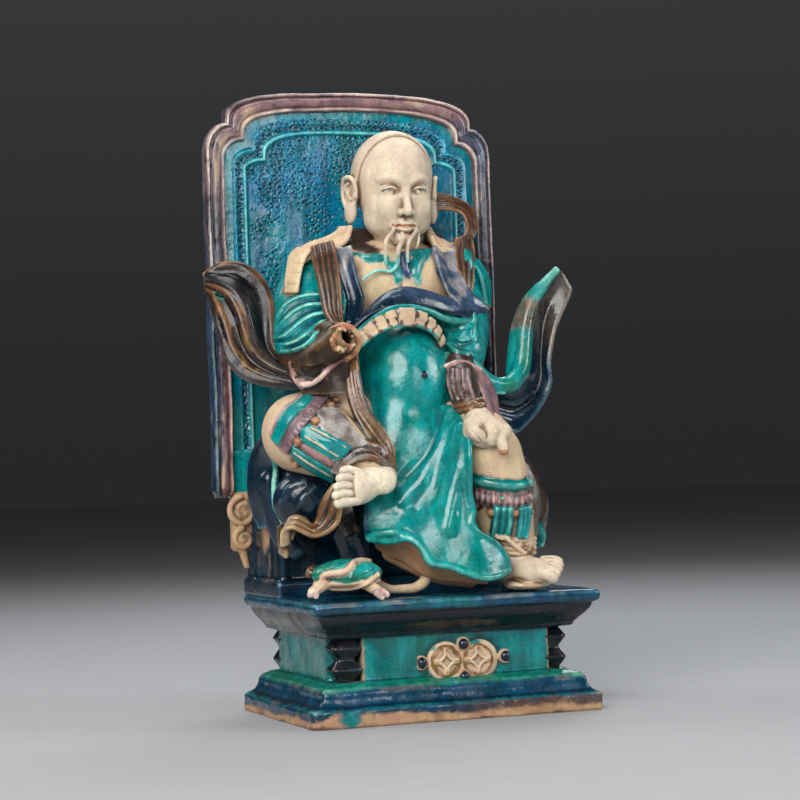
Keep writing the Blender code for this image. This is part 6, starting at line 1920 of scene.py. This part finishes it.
def skirt_folds(F, col, cols):
    # broad ridges that fan out from the hip, and the hollows between them
    for f, sink, cut, k in (
            (((447, 416, 3.6), (442, 436, 5.2), (432, 460, 6.0), (421, 482, 5.6), (402, 502, 3.6)), 2.8, False, 7),
            (((461, 428, 3.2), (460, 462, 4.6), (453, 496, 5.2), (447, 528, 4.4)), 3.0, False, 7),
            (((469, 440, 1.2), (470, 491, 1.6), (474, 511, 1.6), (471.5, 524, 1.6), (479, 532.5, 1.6), (492, 540, 1.6), (502, 549, 1.5), (508, 561, 1.4)), 0.2, False, 1.6),
            (((442, 410, 2.0), (434, 436, 3.3), (423, 457, 3.6), (405, 475, 2.6)), 0.6, True, 3.5)):
        F.add(Tube([[*(np.array(r[:3]) + AHEAD * sink * (-1 if cut else 1) * min(1.0, r[3] / 3)), r[3]] for r in F.on(f, 0)], col, k=k, cut=cut, show=False))
    # turned hem and its bare underside
    hem = [c[-1] for c in cols]
    F.add(Tube(V([(x, y - 1.0, d - 1.2, 2.0) for x, y, d in hem]), "teal_light", k=1.2, bias=0.2))
    F.add(Sheet([cv(*[(x, y + 0.6, d + 2) for x, y, d in hem[:8]]),
                 cv((378, 547, -50), (391, 555, -52), (405, 560, -56), (419, 570, -62), (436, 577, -68), (452, 579, -74), (470, 581, -78), (486, 582, -82))], "bare", 1.8, lambda t, s_: -2.0 * np.sin(np.pi * s_), k=0.8, bias=1.0))
    F.add(tb("bare", (392, 552, -40, 8), (412, 562, -46, 8), (436, 574, -54, 7), (470, 580, -62, 6), k=4))
    # rolled fold at the left end of the hem
    F.add(tb("teal_light", (368, 537, -62, 2.4), (378, 534, -70, 3.2), (392, 532.5, -77, 3.4), (404, 535, -80, 2.6), k=3, show=False))


# --------------------------------------------------------------- tortoise with a snake
def tortoise():
    y = -73
    base = [Ball(at(347, 574, y), (27, 20, 11.5), "green", k=2), Ball(at(347, 582, y), (26, 20, 5), "cream", k=2)]
    F = Model("tortoise", 0.5, base, grow=16, reach=((432, 568, -52), (428, 590, -62)))

    def shell(P, u, w, rel, n1, n2):
        a, g = tone("green", rel, n1, n2)
        b, _ = tone("teal_light", rel, n1, n2)
        k = smooth(0.0, 0.5, n1)[:, None]
        return a * (1 - k) + b * k, g
    base[0].col = shell
    F.add(Tube(F.on([(321, 586, 1.6), (335, 588.5, 1.8), (352, 588, 1.8), (366, 583.5, 1.8), (378, 575, 1.6)], 0.2), "cream", k=1.0, bias=0.8))
    F.add(Tube(F.on([(370, 560.5, 1.3), (361, 560.2, 2.0), (353.8, 562.4, 2.3), (350, 568, 2.4), (344, 572, 2.4), (335, 573.4, 2.4), (327.5, 574.4, 2.4), (323, 578.5, 2.4), (320.6, 586, 2.0)], 0.6), patchy("cream", "pink", 8, -0.2, 2), k=0.8, bias=1.0))
    F.add(Tube(F.on([(356, 566, 1.0), (352, 572, 1.3), (350, 577, 1.2)], 0.2), "teal_light", k=0.8, bias=0.4))
    for f in (((326, 570, .5), (338, 565, .6), (348, 560, .5)), ((358, 577, .5), (368, 573, .6), (376, 568, .5)), ((362, 562, .5), (368, 567, .6), (371, 574, .5)), ((334, 580, .5), (346, 582, .6), (358, 580, .5))):
        F.add(Tube(F.on(f, 0), shell, k=0.8, cut=True))
    # head behind, feet, tail
    F.add(tb("brown", (322, 573, -62, 4.6), (314, 571.5, -66, 5.0), (311, 573.5, -68, 4.2), k=1.6, bias=0.4),
          tb("cream", (326, 583, -82, 4.6), (318, 588, -88, 4.4), (313, 592.5, -91, 4.0), k=1.5),
          tb("plum", (314, 590, -91, 3.0), (310, 595, -93, 2.2), k=1.0, bias=0.2), tb("plum", (317, 591, -91, 2.6), (316, 596.5, -93, 2.0), k=1.0, bias=0.2),
          tb("cream", (366, 584, -84, 4.4), (374, 588.5, -88, 4.2), (381, 592.5, -90, 3.8), k=1.5),
          tb("pink", (380, 591, -90, 3.2), (386.5, 594.5, -91, 2.6), k=1.0, bias=0.5), tb("pink", (377, 593, -91, 2.8), (382, 597.5, -92, 2.2), k=1.0, bias=0.5))
    F.add(tb("cream", (378, 584, -66, 3.4), (390, 589, -64, 3.2), (402, 589, -62, 3.4), (414, 588, -60, 3.8), (423, 583, -58, 4.2), (427, 576, -56, 4.4), (428, 570, -54, 4.0), k=1.0))
    skin(F, GLOSSY, jitter=0.4)


# --------------------------------------------------------------- floor, light, camera
def floor():
    me = bpy.data.meshes.new("floor")
    R, n = 14.0, 96
    rings = [0.4, 1.0, 2.0, 4.0, 8.0, R]
    pts, faces = [(0, 0, 0)], []
    for r in rings:
        pts += [(r * math.cos(2 * math.pi * k / n), r * math.sin(2 * math.pi * k / n), 0) for k in range(n)]
    faces += [(0, 1 + k, 1 + (k + 1) % n) for k in range(n)]
    for i in range(len(rings) - 1):
        a, b = 1 + i * n, 1 + (i + 1) * n
        faces += [(a + k, b + k, b + (k + 1) % n, a + (k + 1) % n) for k in range(n)]
    me.from_pydata(pts, [], faces)
    ob = bpy.data.objects.new("floor", me)
    bpy.context.scene.collection.objects.link(ob)
    m = bpy.data.materials.new("pale_floor")
    m.use_nodes = True
    nt = m.node_tree
    b = nt.nodes["Principled BSDF"]
    tc, nz = nt.nodes.new("ShaderNodeTexCoord"), nt.nodes.new("ShaderNodeTexNoise")
    mx = nt.nodes.new("ShaderNodeMix")
    mx.data_type = 'RGBA'
    nt.links.new(tc.outputs["Object"], nz.inputs["Vector"])
    nz.inputs["Scale"].default_value = 40
    nt.links.new(nz.outputs["Fac"], mx.inputs[0])
    mx.inputs[6].default_value = (0.335, 0.340, 0.352, 1)
    mx.inputs[7].default_value = (0.360, 0.365, 0.378, 1)
    nt.links.new(mx.outputs[2], b.inputs["Base Color"])
    b.inputs["Roughness"].default_value = 0.9
    b.inputs["Specular IOR Level"].default_value = 0.15
    me.materials.append(m)


def lamp(name, loc, target, size, power, colour=(1, 1, 1)):
    d = bpy.data.lights.new(name, 'AREA')
    d.shape = 'DISK'
    d.size = size
    d.energy, d.color = power, colour
    ob = bpy.data.objects.new(name, d)
    bpy.context.scene.collection.objects.link(ob)
    ob.location = loc
    ob.rotation_euler = (Vector(target) - Vector(loc)).to_track_quat('-Z', 'Y').to_euler()


def studio():
    w = bpy.data.worlds.new("studio")
    bpy.context.scene.world = w
    w.use_nodes = True
    nt = w.node_tree
    bg = nt.nodes["Background"]
    tc, sx, mr = nt.nodes.new("ShaderNodeTexCoord"), nt.nodes.new("ShaderNodeSeparateXYZ"), nt.nodes.new("ShaderNodeMapRange")
    mx = nt.nodes.new("ShaderNodeMix")
    mx.data_type = 'RGBA'
    nt.links.new(tc.outputs["Generated"], sx.inputs[0])
    nt.links.new(sx.outputs["Z"], mr.inputs[0])
    mr.interpolation_type = 'SMOOTHSTEP'
    mr.inputs[1].default_value, mr.inputs[2].default_value = 0.0, 0.30
    nt.links.new(mr.outputs[0], mx.inputs[0])
    mx.inputs[6].default_value = (0.020, 0.0205, 0.022, 1)
    mx.inputs[7].default_value = (0.042, 0.043, 0.046, 1)
    nt.links.new(mx.outputs[2], bg.inputs["Color"])
    bg.inputs["Strength"].default_value = 1.0
    lamp("key", (-1.15, -1.35, 1.15), (0, 0, 0.28), 1.5, 47, (1, 0.985, 0.96))
    lamp("front", (0.25, -1.9, 0.8), (0, 0, 0.25), 0.7, 7, (1, 1, 1))
    lamp("fill", (1.5, -0.9, 0.9), (0, 0, 0.3), 0.8, 13, (0.95, 0.98, 1))
    lamp("top", (0.0, 0.1, 1.8), (0, 0, 0.3), 0.9, 10)
    lamp("rear", (0.7, 1.15, 1.5), (0, 0, 0.3), 1.0, 13, (0.95, 0.98, 1))
    lamp("rear_left", (-1.2, 0.95, 1.4), (0, 0, 0.3), 1.0, 10)


def camera():
    cam = bpy.data.cameras.new("view")
    cam.sensor_fit = 'HORIZONTAL'
    cam.sensor_width = 36.0
    cam.lens = 36.0 * VIEW["f"] / 800.0
    cam.clip_start, cam.clip_end = 0.05, 60
    ob = bpy.data.objects.new("view", cam)
    bpy.context.scene.collection.objects.link(ob)
    M = Matrix.Identity(4)
    for i in range(3):
        M[i][0], M[i][1], M[i][2] = RIGHT[i], UP[i], -AHEAD[i]
        M[i][3] = (EYE[i] + SHIFT[i]) * 0.001
    ob.matrix_world = M
    bpy.context.scene.camera = ob
    bpy.context.scene.view_settings.view_transform = 'Standard'


camera()
studio()
floor()
plinth()
quatrefoil()
posts()
rim()
field_panel()
seat_block()
scrolls()
head()
trunk()
ribbon()
open_arm()
left_scarf()
resting_arm()
right_sleeve()
raised_leg()
bare_foot()
under_knee()
standing_leg()
planted_foot()
tortoise()

bpy.context.view_layer.update()
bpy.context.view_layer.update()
say("done")
